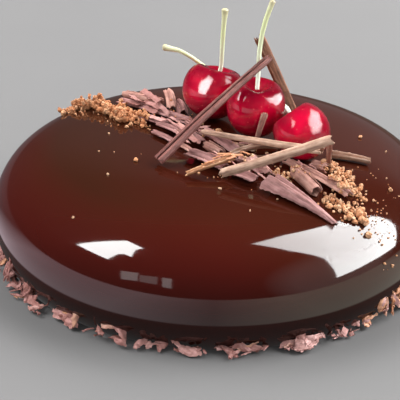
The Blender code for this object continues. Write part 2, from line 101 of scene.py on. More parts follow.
# name: (form, end a, end b, width at a, width at b, bend, colour)
LYING_CURLS = {
    "curl_plank_long": ("bark", (-42.4, 36.8), (-10.6, 9.6), 5.4, 7.0, 0.5, "plank"),
    "curl_cone": ("roll", (-41.2, 44.4), (-24.0, 29.8), 4.6, 5.6, 0.3, "rose"),
    "curl_plank_side": ("bark", (-32.8, 18.0), (-14.6, 1.6), 5.4, 6.0, 0.4, "plank"),
    "curl_plank_under": ("bark", (-23.6, 4.4), (-14.4, -4.4), 4.2, 4.8, 0.2, "plank"),
    "curl_plank_short": ("bark", (-26.0, 1.9), (-15.8, -9.8), 3.4, 3.8, 0.3, "plank"),
    "curl_chip_back": ("bark", (-21.8, 42.0), (-19.0, 19.7), 5.2, 5.4, 0.4, "rose"),
    "curl_chip_cherry": ("bark", (-17.4, 35.0), (-14.6, 20.6), 6.0, 6.2, 0.4, "plank"),
    "curl_flake_inner": ("bark", (-12.2, 0.0), (-5.6, -10.4), 5.8, 5.4, 0.3, "plank"),
    "curl_flake_low": ("bark", (-14.4, -11.2), (-9.6, -17.2), 3.8, 3.4, 0.2, "rose"),
    "curl_thin_back": ("bark", (2.1, -6.3), (14.6, -15.1), 2.4, 2.8, 0.3, "tan"),
    "curl_plank_middle": ("bark", (-5.6, -2.6), (9.2, -21.2), 6.4, 7.0, 0.5, "plank"),
    "curl_ring": ("roll", (-4.0, -13.6), (1.6, -21.2), 4.8, 4.8, 0.0, "rose"),
    "curl_plank_double": ("bark", (-10.6, -20.9), (2.8, -33.6), 7.4, 7.4, 0.5, "plank"),
    "curl_plank_front": ("bark", (4.4, -35.8), (14.0, -42.9), 5.8, 6.2, 0.4, "plank"),
    "curl_gutter_left": ("gutter", (-11.4, -40.4), (6.2, -32.8), 2.4, 3.6, 0.2, "amber"),
    "curl_arc_inner": ("gutter", (10.1, -27.5), (19.1, -20.9), 2.4, 2.2, 0.8, "tan"),
    "curl_arc": ("gutter", (6.3, -25.3), (27.5, -12.5), 3.0, 3.2, 1.8, "tan"),
    "curl_roll_wide": ("roll", (28.9, -36.9), (36.1, -50.3), 6.0, 6.0, 0.2, "rose"),
    "curl_roll_small": ("roll", (36.4, -28.9), (41.4, -32.0), 4.0, 4.0, 0.0, "rose"),
    "curl_splinter_right": ("bark", (26.6, -25.2), (48.2, -49.4), 5.2, 5.6, 0.5, "rose"),
    "curl_bark_big": ("bark", (42.7, -63.2), (18.8, -44.4), 2.6, 11.6, 2.0, "plank"),
    "curl_gutter_right": ("gutter", (43.9, -17.7), (59.6, -20.1), 4.2, 3.2, 0.3, "tan"),
    "curl_plank_gap": ("bark", (7.5, -28.4), (17.2, -36.4), 4.8, 4.4, 0.4, "plank"),
}
# name: (form, end a, end b, width at a, width at b, bend, roll about its length, colour)
LEANING_CURLS = {
    "curl_scroll_long": ("scroll", (-21.9, -28.4, 46.0), (19.7, 0.8, 77.6),
                         6.0, 4.0, 0.6, -8.0, "scroll"),
    "curl_scroll_tall": ("scroll", (32.5, 17.9, 46.2), (15.8, 11.4, 82.6),
                         4.2, 4.4, 0.4, 90.0, "brown"),
    "curl_roll_low": ("roll", (-5.5, -8.4, 49.7), (38.2, -40.6, 56.5),
                      2.4, 3.6, -0.7, 300.0, "tan"),
    "curl_roll_top": ("roll", (1.8, -43.8, 48.0), (41.0, -43.6, 62.2),
                      3.8, 4.2, -0.8, 300.0, "tan"),
    "curl_stick_cherry": ("bark", (15.2, -14.3, 48.4), (18.4, -12.8, 60.0),
                          2.4, 3.6, 0.1, 60.0, "rose"),
    "curl_stick_prop": ("bark", (42.4, -26.8, 45.2), (41.0, -37.8, 59.2),
                        2.6, 2.8, 0.2, 0.0, "rose"),
}
# Dark, middle and light colour of each kind of curl
CURL_COLORS = {
    "plank": ((0.150, 0.060, 0.054), (0.295, 0.136, 0.128), (0.420, 0.222, 0.212)),
    "rose": ((0.195, 0.084, 0.067), (0.375, 0.185, 0.150), (0.500, 0.285, 0.232)),
    "scroll": ((0.088, 0.026, 0.020), (0.165, 0.055, 0.046), (0.262, 0.102, 0.087)),
    "tan": ((0.235, 0.120, 0.083), (0.430, 0.265, 0.190), (0.555, 0.378, 0.288)),
    "amber": ((0.210, 0.080, 0.032), (0.400, 0.190, 0.090), (0.540, 0.320, 0.180)),
    "brown": ((0.090, 0.030, 0.013), (0.190, 0.070, 0.034), (0.320, 0.140, 0.075)),
}
CURL_THICKNESS = 0.7
SHEET_THICKNESS = 0.62
RAGGED_END = 0.9              # how far a curl's end is torn in and out
TIP_LENGTH = 1.6              # how far the fine fraying reaches in from the end
TORN_EDGE = 0.035             # share of a sheet's width that its long edges are torn in
ROW_STEP = 0.5
NARROW_ROLL = 4.5             # a roll below this width is left open
PLAIN_STRIP = 2.6             # a strip up to this width has no ribs

# Heaps of crumbs: both ends of a line, spread, count, range of sizes, layers
CRUMB_HEAPS = [
    ((-66.0, 36.0), (-46.0, 30.0), 4.0, 19, (1.8, 3.6), 3),
    ((-51.0, 30.5), (-36.5, 10.0), 2.4, 17, (1.6, 3.4), 2),
    ((43.0, -26.0), (52.0, -50.0), 5.0, 20, (1.6, 3.4), 2),
    ((48.0, -50.0), (55.0, -63.0), 4.5, 9, (1.4, 4.0), 1),
    ((18.0, -31.0), (30.0, -38.0), 4.0, 4, (1.4, 2.6), 1),
]
# Crumbs that lie loose: place on the plan, size
LOOSE_CRUMBS = [
    (-30.7, -24.8, 2.2), (-36.9, 8.0, 2.0), (58.3, 5.5, 1.8), (65.3, -35.7, 2.0),
    (0.6, 3.4, 3.0), (43.0, -35.0, 2.6), (-61.0, 41.0, 2.4),
]
CRUMB_SEED = 21
CRUMBS_TOP = 53.0             # how high fine crumbs may lie
# Ranges of tint on most of the cake, and in the left heap: large crumbs, fine crumbs
CRUMB_TINTS = ((0.60, 1.00), (0.42, 0.78))
DUST_TINTS = ((0.55, 1.0), (0.40, 0.84))
# Fine crumbs on and round the heaps: both ends of a line, spread, count, range of sizes,
# height that they may pile up to
CRUMB_DUST = [
    ((-65.0, 38.0), (-48.0, 33.0), 3.4, 560, (0.7, 2.0), 3.4),
    ((-51.0, 33.0), (-38.0, 14.0), 2.4, 420, (0.7, 1.9), 2.6),
    ((-43.0, 31.0), (-29.0, 11.0), 3.0, 260, (0.7, 2.2), 2.2),
    ((-66.0, 36.0), (-32.0, 8.0), 6.0, 60, (0.4, 1.3), 0.8),
    ((42.0, -27.0), (51.0, -46.0), 6.0, 250, (0.7, 1.9), 1.8),
    ((37.5, -49.0), (50.0, -56.0), 4.8, 170, (0.7, 1.9), 1.5),
    ((40.0, -24.0), (48.0, -30.0), 3.6, 60, (0.6, 1.5), 1.2),
    ((55.0, -46.0), (58.0, -63.0), 8.0, 70, (0.4, 1.3), 0.6),
    ((14.0, -29.0), (32.0, -39.0), 4.0, 170, (0.5, 1.6), 1.8),
    ((-8.0, -38.0), (12.0, -33.0), 3.0, 36, (0.4, 1.2), 1.0),
    ((60.0, -20.0), (68.0, -45.0), 9.0, 16, (0.4, 1.0), 0.4),
    ((-40.0, -10.0), (40.0, -62.0), 16.0, 10, (0.3, 0.8), 0.4),
    ((-24.0, 24.0), (26.0, -30.0), 8.0, 80, (0.4, 1.4), 1.0),
]
# Single pale specks on the glaze: place on the plan, size
SPECKS = [
    (-45.8, -16.3, 1.0), (-40.3, -36.5, 1.1), (-50.6, -59.7, 1.0), (-43.7, 1.5, 0.8),
    (12.3, -61.6, 0.8), (22.1, -53.7, 1.0), (67.7, -4.3, 0.8), (1.5, -47.8, 1.3),
]

# Small bits of chocolate in the pile: both ends of a line, spread, count, ranges of length
# and width
CHOCOLATE_BITS = [
    ((-37.0, 34.0), (-18.0, 18.0), 4.6, 36, (7.0, 16.0), (2.2, 4.8)),
    ((-24.0, 10.0), (-10.0, -8.0), 4.0, 22, (6.0, 15.0), (1.3, 3.2)),
    ((-13.0, -8.0), (8.0, -32.0), 5.0, 40, (6.0, 15.0), (1.3, 3.2)),
    ((4.0, -30.0), (34.0, -48.0), 4.6, 46, (5.0, 13.0), (1.2, 3.2)),
    ((24.0, -30.0), (46.0, -50.0), 4.0, 30, (4.0, 12.0), (1.0, 2.6)),
    ((6.0, -10.0), (34.0, -32.0), 4.0, 36, (4.0, 11.0), (1.0, 2.8)),
    ((-12.0, 6.0), (4.0, -8.0), 4.0, 24, (4.0, 11.0), (1.0, 2.8)),
]
# Open ends that the bits and the fine crumbs leave free: place on the plan, radius
KEPT_OPEN = [((1.4, -21.0), 3.6), ((3.2, -23.6), 3.2), ((43.0, -33.0), 3.0),
             ((-24.5, 30.5), 3.6), ((35.6, -49.5), 4.0)]
BITS_ON_TOP = 0.06            # share of the bits that may lie on the large pieces
BITS_TOP = (48.4, 52.0)       # how high most bits may lie, and how high that share
BITS_HEADING = -49.0          # degrees, the way that the band runs
BITS_SEED = 14
BITS_LOWEST = 40.0            # how high all of a bit must be supported
BITS_STEEPEST = 0.55
FRUIT_CLEARANCE = 0.6
# Bright broken flakes: place on the plan, heading in degrees, length, width
AMBER_FLAKES = [
    (3.4, -29.6, -8.0, 7.0, 2.4), (7.6, -31.4, 22.0, 6.0, 2.0), (10.6, -30.0, -30.0, 5.0, 2.2),
    (1.0, -33.0, 15.0, 6.0, 1.8), (5.4, -34.6, 40.0, 5.0, 2.0), (13.0, -27.4, 8.0, 6.5, 1.8),
    (16.0, -28.8, -18.0, 5.0, 1.6), (-2.6, -35.8, 24.0, 5.0, 1.6),
]
AMBER_TINT = 1.3
AMBER_TOP = 54.0              # how high a bright flake may lie

# The shavings all round the foot: ranges of length, reach beyond the foot and height
SHAVING_COUNT = 46
SHAVING_LENGTH = (6.0, 13.5)
SHAVING_REACH = (3.0, 8.0)
SHAVING_RISE = (1.8, 7.5)
SHAVING_THICKNESS = 0.8
SHAVING_SEED = 8
# Torn splinters that each sheet gives, ranges of their length and width
SPLINTERS = (4, (4.5, 12.5), (3.2, 7.0))
TALL_SPLINTERS = (7, (8.0, 15.0), (2.2, 6.0))
SMALL_FLAKES = 150
# Tall shavings: direction in degrees, height, width
TALL_SHAVINGS = [
    (-47.0, 15.0, 5.0), (-42.0, 19.0, 8.0), (-36.0, 14.0, 9.0),
    (-149.0, 13.0, 8.0), (-155.0, 16.0, 9.0), (-141.0, 9.0, 6.0),
    (20.0, 12.0, 7.0), (62.0, 14.0, 8.0), (118.0, 13.0, 7.0), (166.0, 12.0, 8.0),
]

# ---- camera and light
CAMERA_DISTANCE = 450.0
CAMERA_RISE = 28.0            # degrees above the horizon, seen from the origin
CAMERA_YAW = -0.92
CAMERA_PITCH = 26.21
CAMERA_ROLL = 0.88
FOCAL_PIXELS = 1067.7
PICTURE_SIDE = 400

# Each card is a bright window that only the gloss shows: the outline of its image on the
# glaze in the picture's pixels, the direction that the card stands in, its brightness
CARDS = {
    "card_right": ([(252, 244), (285, 235), (326, 225.5), (332, 230.5), (336, 222),
                    (350, 218.5), (367, 216), (384, 218.5), (394, 225), (396.5, 235),
                    (395, 246), (370, 262), (337, 277.5), (332, 267), (324, 258.5),
                    (290, 251)], 85.0, 42.0, 19.5),
    "card_left": ([(77, 244.6), (100, 241.7), (127, 240.7), (143, 248.3), (135.7, 250),
                   (131.4, 257), (124.3, 254), (118.6, 254), (108, 259.3)],
                  -110.0, 48.0, 23.0),
    "card_pane_a": ([(121, 270.7), (138.6, 273), (137.6, 281), (121, 279)],
                    -145.0, 20.0, 2.3),
    "card_pane_b": ([(139.6, 275), (157.8, 277), (157, 284.5), (139.4, 281.6)],
                    -150.0, 20.0, 1.2),
    "card_pane_c": ([(162, 277.6), (172, 279), (171.6, 288.6), (162.4, 287)],
                    -155.0, 20.0, 2.3),
}
DIM_END = {"card_right": 0.55}     # brightness of a card's left end, as a share of the right
WINDOW_COLOR = (0.975, 1.0, 0.995, 1.0)
CARD_DISTANCE = 1500.0

# Soft windows, each mirrored by one cherry only: the cherry, the outline of the window's
# image on it in the picture's pixels, brightness
SOFT_CARDS = {
    "soft_left_a": ("cherry_left", [(209, 76), (213, 80), (205, 97), (198, 94), (200, 82)], 22.0),
    "soft_left_b": ("cherry_left", [(225, 76), (231, 77), (231, 83), (225, 85)], 9.0),
    "soft_middle_a": ("cherry_middle", [(240, 92), (246, 97), (241, 104), (237, 99)], 16.0),
    "soft_middle_b": ("cherry_middle", [(266, 98), (272, 97), (280, 93), (283, 99),
                                        (279, 107), (271, 106)], 13.0),
    "soft_right_a": ("cherry_right", [(291, 119), (295, 121), (295, 126), (292, 128)], 9.0),
    "soft_right_b": ("cherry_right", [(311, 110), (318, 113), (322, 124), (320, 132),
                                      (313, 134), (308, 122)], 14.0),
}
# The rings of a soft window: size as a share of its outline, brightness
SOFT_RINGS = ((0.60, 1.0), (0.90, 0.60), (1.15, 0.0))

FLOOR_SIDE = 6000.0
# The table as the gloss alone shows it: brightness under the cake, radius of the dark part,
# brightness beyond it from left to right
TABLE_DARK = 0.12
TABLE_EDGE = 108.0
TABLE_GROUND = [(0.0, (1.35, 1.10, 1.22)), (0.25, (1.30, 1.13, 1.20)),
                (0.5, (0.52, 0.54, 0.54)), (0.75, (1.04, 1.05, 0.90)),
                (1.0, (0.98, 1.02, 0.88))]

# What the gloss mirrors besides: brightness of the wall behind, left and right; of a wall
# at the side, with its azimuth, elevation and the cosines where it fades in; and elsewhere
WALL_BEHIND = (0.01, 0.21)
WALL_SIDE = (118.0, 15.0, 0.80, 0.93, 0.50)
WALL_DIM = 0.04
SKY_LIGHT = 0.31
SKY_SEEN = 0.50

# Lamps that only light: direction, height above the horizon, power
LAMPS = {
    "lamp_right": (80.0, 42.0, 30.0),
    "lamp_left": (-80.0, 44.0, 23.0),
    "lamp_back": (8.0, 45.0, 15.0),
    "lamp_front": (178.0, 12.0, 5.0),
    "lamp_fruit": (150.0, 20.0, 13.0),
}
LAMP_DISTANCE = 1300.0
LAMP_SIDE = 900.0
# The first lights only the cherries, and the second everything else
FRUIT_LAMP, OTHERS_LAMP = "lamp_fruit", "lamp_right"


# ---- the cake's shape
def glaze_radius(height):
    """How far the glaze reaches at a height: a dome above, tucked in below."""
    if height >= WIDEST_HEIGHT:
        rise = (height - WIDEST_HEIGHT) / DOME_HEIGHT
        return CAKE_RADIUS * max(1.0 - rise ** SIDE_SHARPNESS, 0.0) ** (1 / TOP_SHARPNESS)
    tuck = (1.0 - height / WIDEST_HEIGHT) ** 2
    return CAKE_RADIUS - (CAKE_RADIUS - FOOT_RADIUS) * tuck


def glaze_height(x, y):
    reach = min(hypot(x, y) / CAKE_RADIUS, 0.9999)
    return WIDEST_HEIGHT + DOME_HEIGHT * (1.0 - reach ** TOP_SHARPNESS) ** (1 / SIDE_SHARPNESS)


def glaze_normal(point):
    """Outward direction of the glaze above its widest height."""
    x, y, z = point
    reach = max(hypot(x, y), 1e-9)
    out = TOP_SHARPNESS * (reach / CAKE_RADIUS) ** (TOP_SHARPNESS - 1) / CAKE_RADIUS
    rise = max(z - WIDEST_HEIGHT, 0.0) / DOME_HEIGHT
    up = SIDE_SHARPNESS * rise ** (SIDE_SHARPNESS - 1) / DOME_HEIGHT
    return Vector((out * x / reach, out * y / reach, up)).normalized()


# ---- camera
def link(obj):
    """Put an object into the scene."""
    bpy.context.scene.collection.objects.link(obj)


def direction(azimuth, elevation):
    """Azimuth in degrees from +Y towards +X, elevation above the horizon."""
    a, e = radians(azimuth), radians(elevation)
    return Vector((sin(a) * cos(e), cos(a) * cos(e), sin(e)))


def camera_place():
    rise = radians(CAMERA_RISE)
    return Vector((0.0, -CAMERA_DISTANCE * cos(rise), CAMERA_DISTANCE * sin(rise)))


def camera_axes():
    """The camera's right, up and forward directions."""
    roll = radians(CAMERA_ROLL)
    forward = direction(CAMERA_YAW, -CAMERA_PITCH)
    level = forward.cross(Vector((0, 0, 1))).normalized()
    upright = level.cross(forward)
    right = level * cos(roll) + upright * sin(roll)
    up = upright * cos(roll) - level * sin(roll)
    return right, up, forward


def add_camera():
    right, up, forward = camera_axes()
    lens = bpy.data.cameras.new("camera")
    lens.sensor_width = 36.0
    lens.lens = FOCAL_PIXELS / PICTURE_SIDE * lens.sensor_width
    lens.clip_start = 0.01
    camera = bpy.data.objects.new("camera", lens)
    link(camera)
    pose = Matrix((right, up, -forward)).transposed().to_4x4()
    pose.translation = camera_place() * MM
    camera.matrix_world = pose
    bpy.context.scene.camera = camera


def pixel_ray(px, py):
    """The direction that the camera sees a pixel of the picture in."""
    right, up, forward = camera_axes()
    half = PICTURE_SIDE / 2
    ray = forward + right * ((px - half) / FOCAL_PIXELS) - up * ((py - half) / FOCAL_PIXELS)
    return ray.normalized()


def glaze_seen_at(px, py):
    """The point of the glaze that a pixel of the picture shows."""
    ray = pixel_ray(px, py)
    start = camera_place()

    def inside(distance):
        place = start + ray * distance
        if not 0.0 < place.z < CAKE_HEIGHT:
            return False
        return hypot(place.x, place.y) < glaze_radius(place.z)

    far = 300.0
    while not inside(far):
        far += 1.0
    near = far - 1.0
    for _ in range(12):
        middle = (near + far) / 2
        if inside(middle):
            far = middle
        else:
            near = middle
    return start + ray * far, ray


# ---- node helpers
def node(tree, kind, inputs=None, **settings):
    made = tree.nodes.new(kind)
    for key, value in settings.items():
        setattr(made, key, value)
    for key, value in (inputs or {}).items():
        if isinstance(value, bpy.types.NodeSocket):
            tree.links.new(value, made.inputs[key])
        else:
            made.inputs[key].default_value = value
    return made


def ramp(tree, factor, stops):
    """Colour along a row of (place, colour) stops."""
    made = node(tree, "ShaderNodeValToRGB", {"Fac": factor})
    elements = made.color_ramp.elements
    while len(elements) < len(stops):
        elements.new(0.5)
    for element, (place, color) in zip(elements, stops):
        element.position = place
        element.color = (*color, 1.0)
    return made.outputs["Color"]


def spotty(tree, coords, stretch, detail=4.0, rough=0.55):
    """Noise from 0 to 1, its features 1/stretch metres long, on all axes or on each."""
    if isinstance(stretch, float):
        stretch = (stretch,) * 3
    scaled = node(tree, "ShaderNodeMapping", {"Vector": coords, "Scale": stretch})
    made = node(tree, "ShaderNodeTexNoise", {
        "Vector": scaled.outputs["Vector"], "Scale": 1.0, "Detail": detail,
        "Roughness": rough})
    return made.outputs["Fac"]


def mix(tree, factor, *colors):
    """Blend of two colours."""
    a, b = (color if isinstance(color, bpy.types.NodeSocket) else (*color, 1.0)
            for color in colors)
    return node(tree, "ShaderNodeMix", {0: factor, 6: a, 7: b}, data_type="RGBA").outputs[2]


def remap(tree, value, *ends):
    """A value carried from one range to another, or to 0 to 1."""
    ends = dict(zip(("From Min", "From Max", "To Min", "To Max"), ends))
    return node(tree, "ShaderNodeMapRange", {"Value": value, **ends}).outputs["Result"]


def calculate(tree, operation, a, b):
    return node(tree, "ShaderNodeMath", {0: a, 1: b}, operation=operation).outputs[0]


def vector_step(tree, operation, *parts):
    """One step with vectors, which gives a vector, or the value of a length or product."""
    made = node(tree, "ShaderNodeVectorMath", dict(enumerate(parts)), operation=operation)
    return made.outputs["Value" if operation in ("DOT_PRODUCT", "LENGTH") else "Vector"]


def axis(tree, coords, letter):
    return node(tree, "ShaderNodeSeparateXYZ", {"Vector": coords}).outputs[letter]


def attribute(tree, name):
    return node(tree, "ShaderNodeAttribute", attribute_name=name).outputs["Fac"]


def start_material(name):
    mat = bpy.data.materials.new(name)
    mat.use_nodes = True
    tree = mat.node_tree
    coords = node(tree, "ShaderNodeTexCoord").outputs["Object"]
    return mat, tree, tree.nodes["Principled BSDF"], coords


def start_glow(name):
    """A material that only glows."""
    mat, tree, shader, coords = start_material(name)
    tree.nodes.remove(shader)
    return mat, tree, tree.nodes["Material Output"].inputs["Surface"], coords


def surface(tree, shader, color, gloss, roughness, specular, bump=None):
    """Colour, roughness over a noise, specular level, and a bump's height, strength, depth."""
    tree.links.new(color, shader.inputs["Base Color"])
    tree.links.new(remap(tree, gloss, 0.3, 0.7, *roughness), shader.inputs["Roughness"])
    shader.inputs["Specular IOR Level"].default_value = specular
    if bump:
        height, strength, depth = bump
        made = node(tree, "ShaderNodeBump", {"Height": height, "Strength": strength,
                                             "Distance": depth * MM})
        tree.links.new(made.outputs["Normal"], shader.inputs["Normal"])


# ---- materials
def glaze_material():
    """Browner at the left, redder round the front left, and darker at the foot with painted
    shade.
    """
    mat, tree, shader, coords = start_material("mirror_glaze")
    drift = spotty(tree, coords, (16.0, 16.0, 30.0), 2.0, 0.4)
    color = ramp(tree, remap(tree, drift, 0.3, 0.7), [
        (0.0, (0.036, 0.0062, 0.0030)), (1.0, (0.045, 0.0086, 0.0038))])
    left = remap(tree, axis(tree, coords, "X"), -0.012, -0.045, 0.0, 0.75)
    color = mix(tree, left, color, (0.026, 0.0078, 0.0036))
    reach = vector_step(tree, "LENGTH",
                        vector_step(tree, "MULTIPLY", coords, (1.0, 1.0, 0.0)))
    toward = vector_step(tree, "DOT_PRODUCT", coords, (-0.75, -0.66, 0.0))
    redder = calculate(tree, "MULTIPLY", remap(tree, reach, 0.064, 0.088, 0.0, 0.8),
                       remap(tree, toward, 0.020, 0.050))
    color = mix(tree, redder, color, (0.062, 0.0056, 0.0044))
    # Painted shade: the colour darkens towards the foot.
    low = remap(tree, axis(tree, coords, "Z"), 0.030, 0.010, 0.0, 0.8)
    color = mix(tree, low, color, (0.012, 0.0045, 0.0035))
    grain = spotty(tree, coords, 420.0, 3.0)
    waves = spotty(tree, coords, 45.0, 1.0)
    surface(tree, shader, color, grain, (0.045, 0.075), 0.5, (waves, 0.10, 0.30))
    shader.inputs["IOR"].default_value = 1.5
    return mat


def chocolate_material(name, dark, middle, light):
    """Milk chocolate with a bloom, streaked along the piece's own X, with painted shade in its
    grooves.
    """
    mat, tree, shader, coords = start_material(name)
    streaks = spotty(tree, coords, (55.0, 950.0, 950.0), 4.0, 0.6)
    blotch = spotty(tree, coords, (240.0, 420.0, 420.0), 3.0)
    both = remap(tree, calculate(tree, "ADD", streaks, blotch), 0.72, 1.28)
    color = ramp(tree, both, [(0.0, dark), (0.5, middle), (1.0, light)])
    # Painted shade: darker deep in the grooves between the ribs.
    deep = remap(tree, attribute(tree, "groove"), 0.55, 1.0, 0.0, 0.75)
    color = mix(tree, deep, color, tuple(part * 0.42 for part in dark))
    surface(tree, shader, color, blotch, (0.50, 0.72), 0.35, (streaks, 0.55, 0.35))
    return mat


def flake_material():
    """Shavings and bits, each with its own tint."""
    mat, tree, shader, coords = start_material("chocolate_flakes")
    base = ramp(tree, remap(tree, attribute(tree, "tint"), 0.0, 1.3), [
        (0.0, (0.080, 0.028, 0.022)), (0.27, (0.25, 0.098, 0.084)),
        (0.54, (0.42, 0.195, 0.180)), (0.77, (0.57, 0.310, 0.290)),
        (0.90, (0.62, 0.330, 0.200)), (1.0, (0.60, 0.265, 0.135))])
    mottle = spotty(tree, coords, 420.0, 4.0, 0.6)
    color = mix(tree, remap(tree, mottle, 0.35, 0.7, 0.0, 0.55), base, (0.16, 0.052, 0.030))
    surface(tree, shader, color, mottle, (0.45, 0.70), 0.35,
            (spotty(tree, coords, 900.0), 0.5, 0.3))
    return mat


def crumb_material():
    mat, tree, shader, coords = start_material("biscuit_crumbs")
    base = ramp(tree, attribute(tree, "tint"), [
        (0.0, (0.16, 0.046, 0.020)), (0.3, (0.36, 0.125, 0.050)),
        (0.65, (0.60, 0.280, 0.135)), (1.0, (0.76, 0.500, 0.320))])
    mottle = spotty(tree, coords, 700.0, 4.0, 0.7)
    color = mix(tree, remap(tree, mottle, 0.45, 0.75, 0.0, 0.6), base, (0.24, 0.075, 0.025))
    surface(tree, shader, color, mottle, (0.75, 0.95), 0.25,
            (spotty(tree, coords, 1500.0), 0.7, 0.4))
    return mat


def cherry_material():
    """Deep red skin with pale specks, its own darker stem end, and painted shade on top and
    below.
    """
    mat, tree, shader, coords = start_material("cherry_skin")
    blush = spotty(tree, coords, 75.0, 3.0, 0.5)
    skin = ramp(tree, remap(tree, blush, 0.32, 0.68), [
        (0.0, (0.190, 0.0008, 0.0130)), (0.5, (0.420, 0.0011, 0.0240)),
        (1.0, (0.720, 0.0022, 0.0430))])
    height = axis(tree, coords, "Z")
    # Darker round the stem end and over the top: the stem end's own darker colour, with painted
    # shade over the rest of the top.
    pit = remap(tree, height, 0.0035, 0.0105, 0.0, 0.70)
    skin = mix(tree, pit, skin, (0.170, 0.0010, 0.0120))
    # Painted shade: darker on the underside.
    under = remap(tree, height, -0.0100, 0.0000, 0.70, 0.0)
    skin = mix(tree, under, skin, (0.140, 0.0008, 0.0090))
    spots = node(tree, "ShaderNodeTexVoronoi", {"Vector": coords, "Scale": 420.0},
                 feature="F1")
    speck = remap(tree, spots.outputs["Distance"], 0.10, 0.17, 0.35, 0.0)
    skin = mix(tree, speck, skin, (0.70, 0.10, 0.10))
    surface(tree, shader, skin, spotty(tree, coords, 500.0, 2.0), (0.25, 0.35), 0.05,
            (spotty(tree, coords, 160.0, 2.0), 0.12, 0.25))
    shader.inputs["Coat Weight"].default_value = 1.0
    shader.inputs["Coat Roughness"].default_value = 0.07
    return mat


def stem_material():
    """Pale at the foot, green further up, brown at the knob."""
    mat, tree, shader, coords = start_material("cherry_stem")
    length = ramp(tree, attribute(tree, "along"), [
        (0.0, (0.86, 0.96, 0.86)), (0.30, (0.86, 0.94, 0.78)), (0.75, (0.70, 0.78, 0.42)),
        (0.93, (0.72, 0.74, 0.46)), (1.0, (0.52, 0.46, 0.28))])
    streak = spotty(tree, coords, (500.0, 500.0, 90.0), 3.0)
    color = mix(tree, remap(tree, streak, 0.45, 0.85, 0.0, 0.35), length, (0.48, 0.53, 0.20))
    surface(tree, shader, color, streak, (0.38, 0.55), 0.5, (streak, 0.3, 0.2))
    return mat


def floor_material():
    mat, tree, shader, coords = start_material("studio_floor")
    drift = spotty(tree, coords, 3.0, 3.0)
    color = ramp(tree, drift, [(0.3, (0.150, 0.150, 0.154)), (0.7, (0.164, 0.164, 0.167))])
    surface(tree, shader, color, drift, (0.85, 0.95), 0.1)
    return mat


def glow_material(name, brightness):
    """A glow that fades with the attribute "fade" and hides nothing behind it."""
    mat, tree, out, coords = start_glow(name)
    strength = remap(tree, spotty(tree, coords, 1.2, 1.0), 0.2, 0.8, 0.92 * brightness,
                     1.04 * brightness)
    depth = node(tree, "ShaderNodeLightPath").outputs["Ray Depth"]
    strength = calculate(tree, "MULTIPLY", strength, attribute(tree, "fade"))
    strength = calculate(tree, "MULTIPLY", strength, calculate(tree, "LESS_THAN", depth, 1.5))
    glow = node(tree, "ShaderNodeEmission", {"Color": WINDOW_COLOR, "Strength": strength})
    clear = node(tree, "ShaderNodeBsdfTransparent")
    both = node(tree, "ShaderNodeAddShader", {0: glow.outputs[0], 1: clear.outputs[0]})
    tree.links.new(both.outputs[0], out)
    return mat


def table_material():
    """What the side of the cake mirrors: a dark table, with pale ground further out."""
    mat, tree, out, coords = start_glow("mirrored_table")
    flat = vector_step(tree, "MULTIPLY", coords, (1.0, 1.0, 0.0))
    outward = vector_step(tree, "NORMALIZE", flat)
    ground = ramp(tree, remap(tree, axis(tree, outward, "X"), -1.0, 1.0), TABLE_GROUND)
    behind = remap(tree, axis(tree, outward, "Y"), -0.15, 0.30, 0.0, 0.9)
    ground = mix(tree, behind, ground, (0.02, 0.02, 0.02))
    edge = remap(tree, vector_step(tree, "LENGTH", flat), 0.99 * TABLE_EDGE * MM,
                 1.01 * TABLE_EDGE * MM)
    drift = remap(tree, spotty(tree, coords, 9.0, 3.0), 0.3, 0.7, 0.94, 1.06)
    glow = node(tree, "ShaderNodeEmission", {
        "Color": mix(tree, edge, (TABLE_DARK,) * 3, ground), "Strength": drift})
    tree.links.new(glow.outputs[0], out)
    return mat


# ---- mesh helpers
class Pile:
    """Gathers points and faces of many small shapes into one mesh, in mm."""

    def __init__(self):
        self.points = []
        self.faces = []
        self.tints = []
        self.count = 0

    def add(self, points, faces, tint):
        self.points.append(np.asarray(points, float))
        self.faces.extend([tuple(index + self.count for index in face) for face in faces])
        self.tints.extend([tint] * len(points))
        self.count += len(points)

    def to_object(self, name, mat, replaced=(), sharp=50.0):
        return new_piece(name, np.concatenate(self.points), self.faces, mat, replaced,
                         {"tint": self.tints}, sharp)


def mesh_of(name, points, faces, attributes=None, sharp=50.0):
    mesh = bpy.data.meshes.new(name)
    mesh.from_pydata((np.asarray(points, float) * MM).tolist(), [], faces)
    for key, values in (attributes or {}).items():
        layer = mesh.attributes.new(key, "FLOAT", "POINT")
        layer.data.foreach_set("value", np.asarray(values, np.float32).ravel())
    mesh.shade_smooth()
    mesh.set_sharp_from_angle(angle=radians(sharp))
    return mesh


def finish_piece(obj, mat, replaced=()):
    """Link a piece, give it its material and body, and hide what it stands for."""
    link(obj)
    bpy.context.view_layer.update()
    obj.data.materials.append(mat)
    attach(obj, "root")
    if replaced:
        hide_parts(*replaced)
    return obj


def new_piece(name, points, faces, mat, replaced=(), attributes=None, sharp=50.0):
    mesh = mesh_of(name, points, faces, attributes, sharp)
    return finish_piece(bpy.data.objects.new(name, mesh), mat, replaced)


def search_tree(*objects):
    """One search tree of the objects' faces in world space, in mm."""
    points, faces = [], []
    bpy.context.evaluated_depsgraph_get().update()
    for obj in objects:
        first = len(points)
        place = obj.matrix_world
        points += [(place @ vert.co) / MM for vert in obj.data.vertices]
        faces += [tuple(first + index for index in face.vertices)
                  for face in obj.data.polygons]
    return BVHTree.FromPolygons(points, faces)


def grid(rows, columns, found):
    """What is found at the corners of so many rows and columns of squares."""
    return np.array([[found(row, column) for column in range(columns + 1)]
                     for row in range(rows + 1)], float)


def surface_normals(points):
    """Unit normals of a grid of points."""
    normals = np.cross(np.gradient(points, axis=0), np.gradient(points, axis=1))
    length = np.linalg.norm(normals, axis=2, keepdims=True)
    return normals / np.maximum(length, 1e-9)


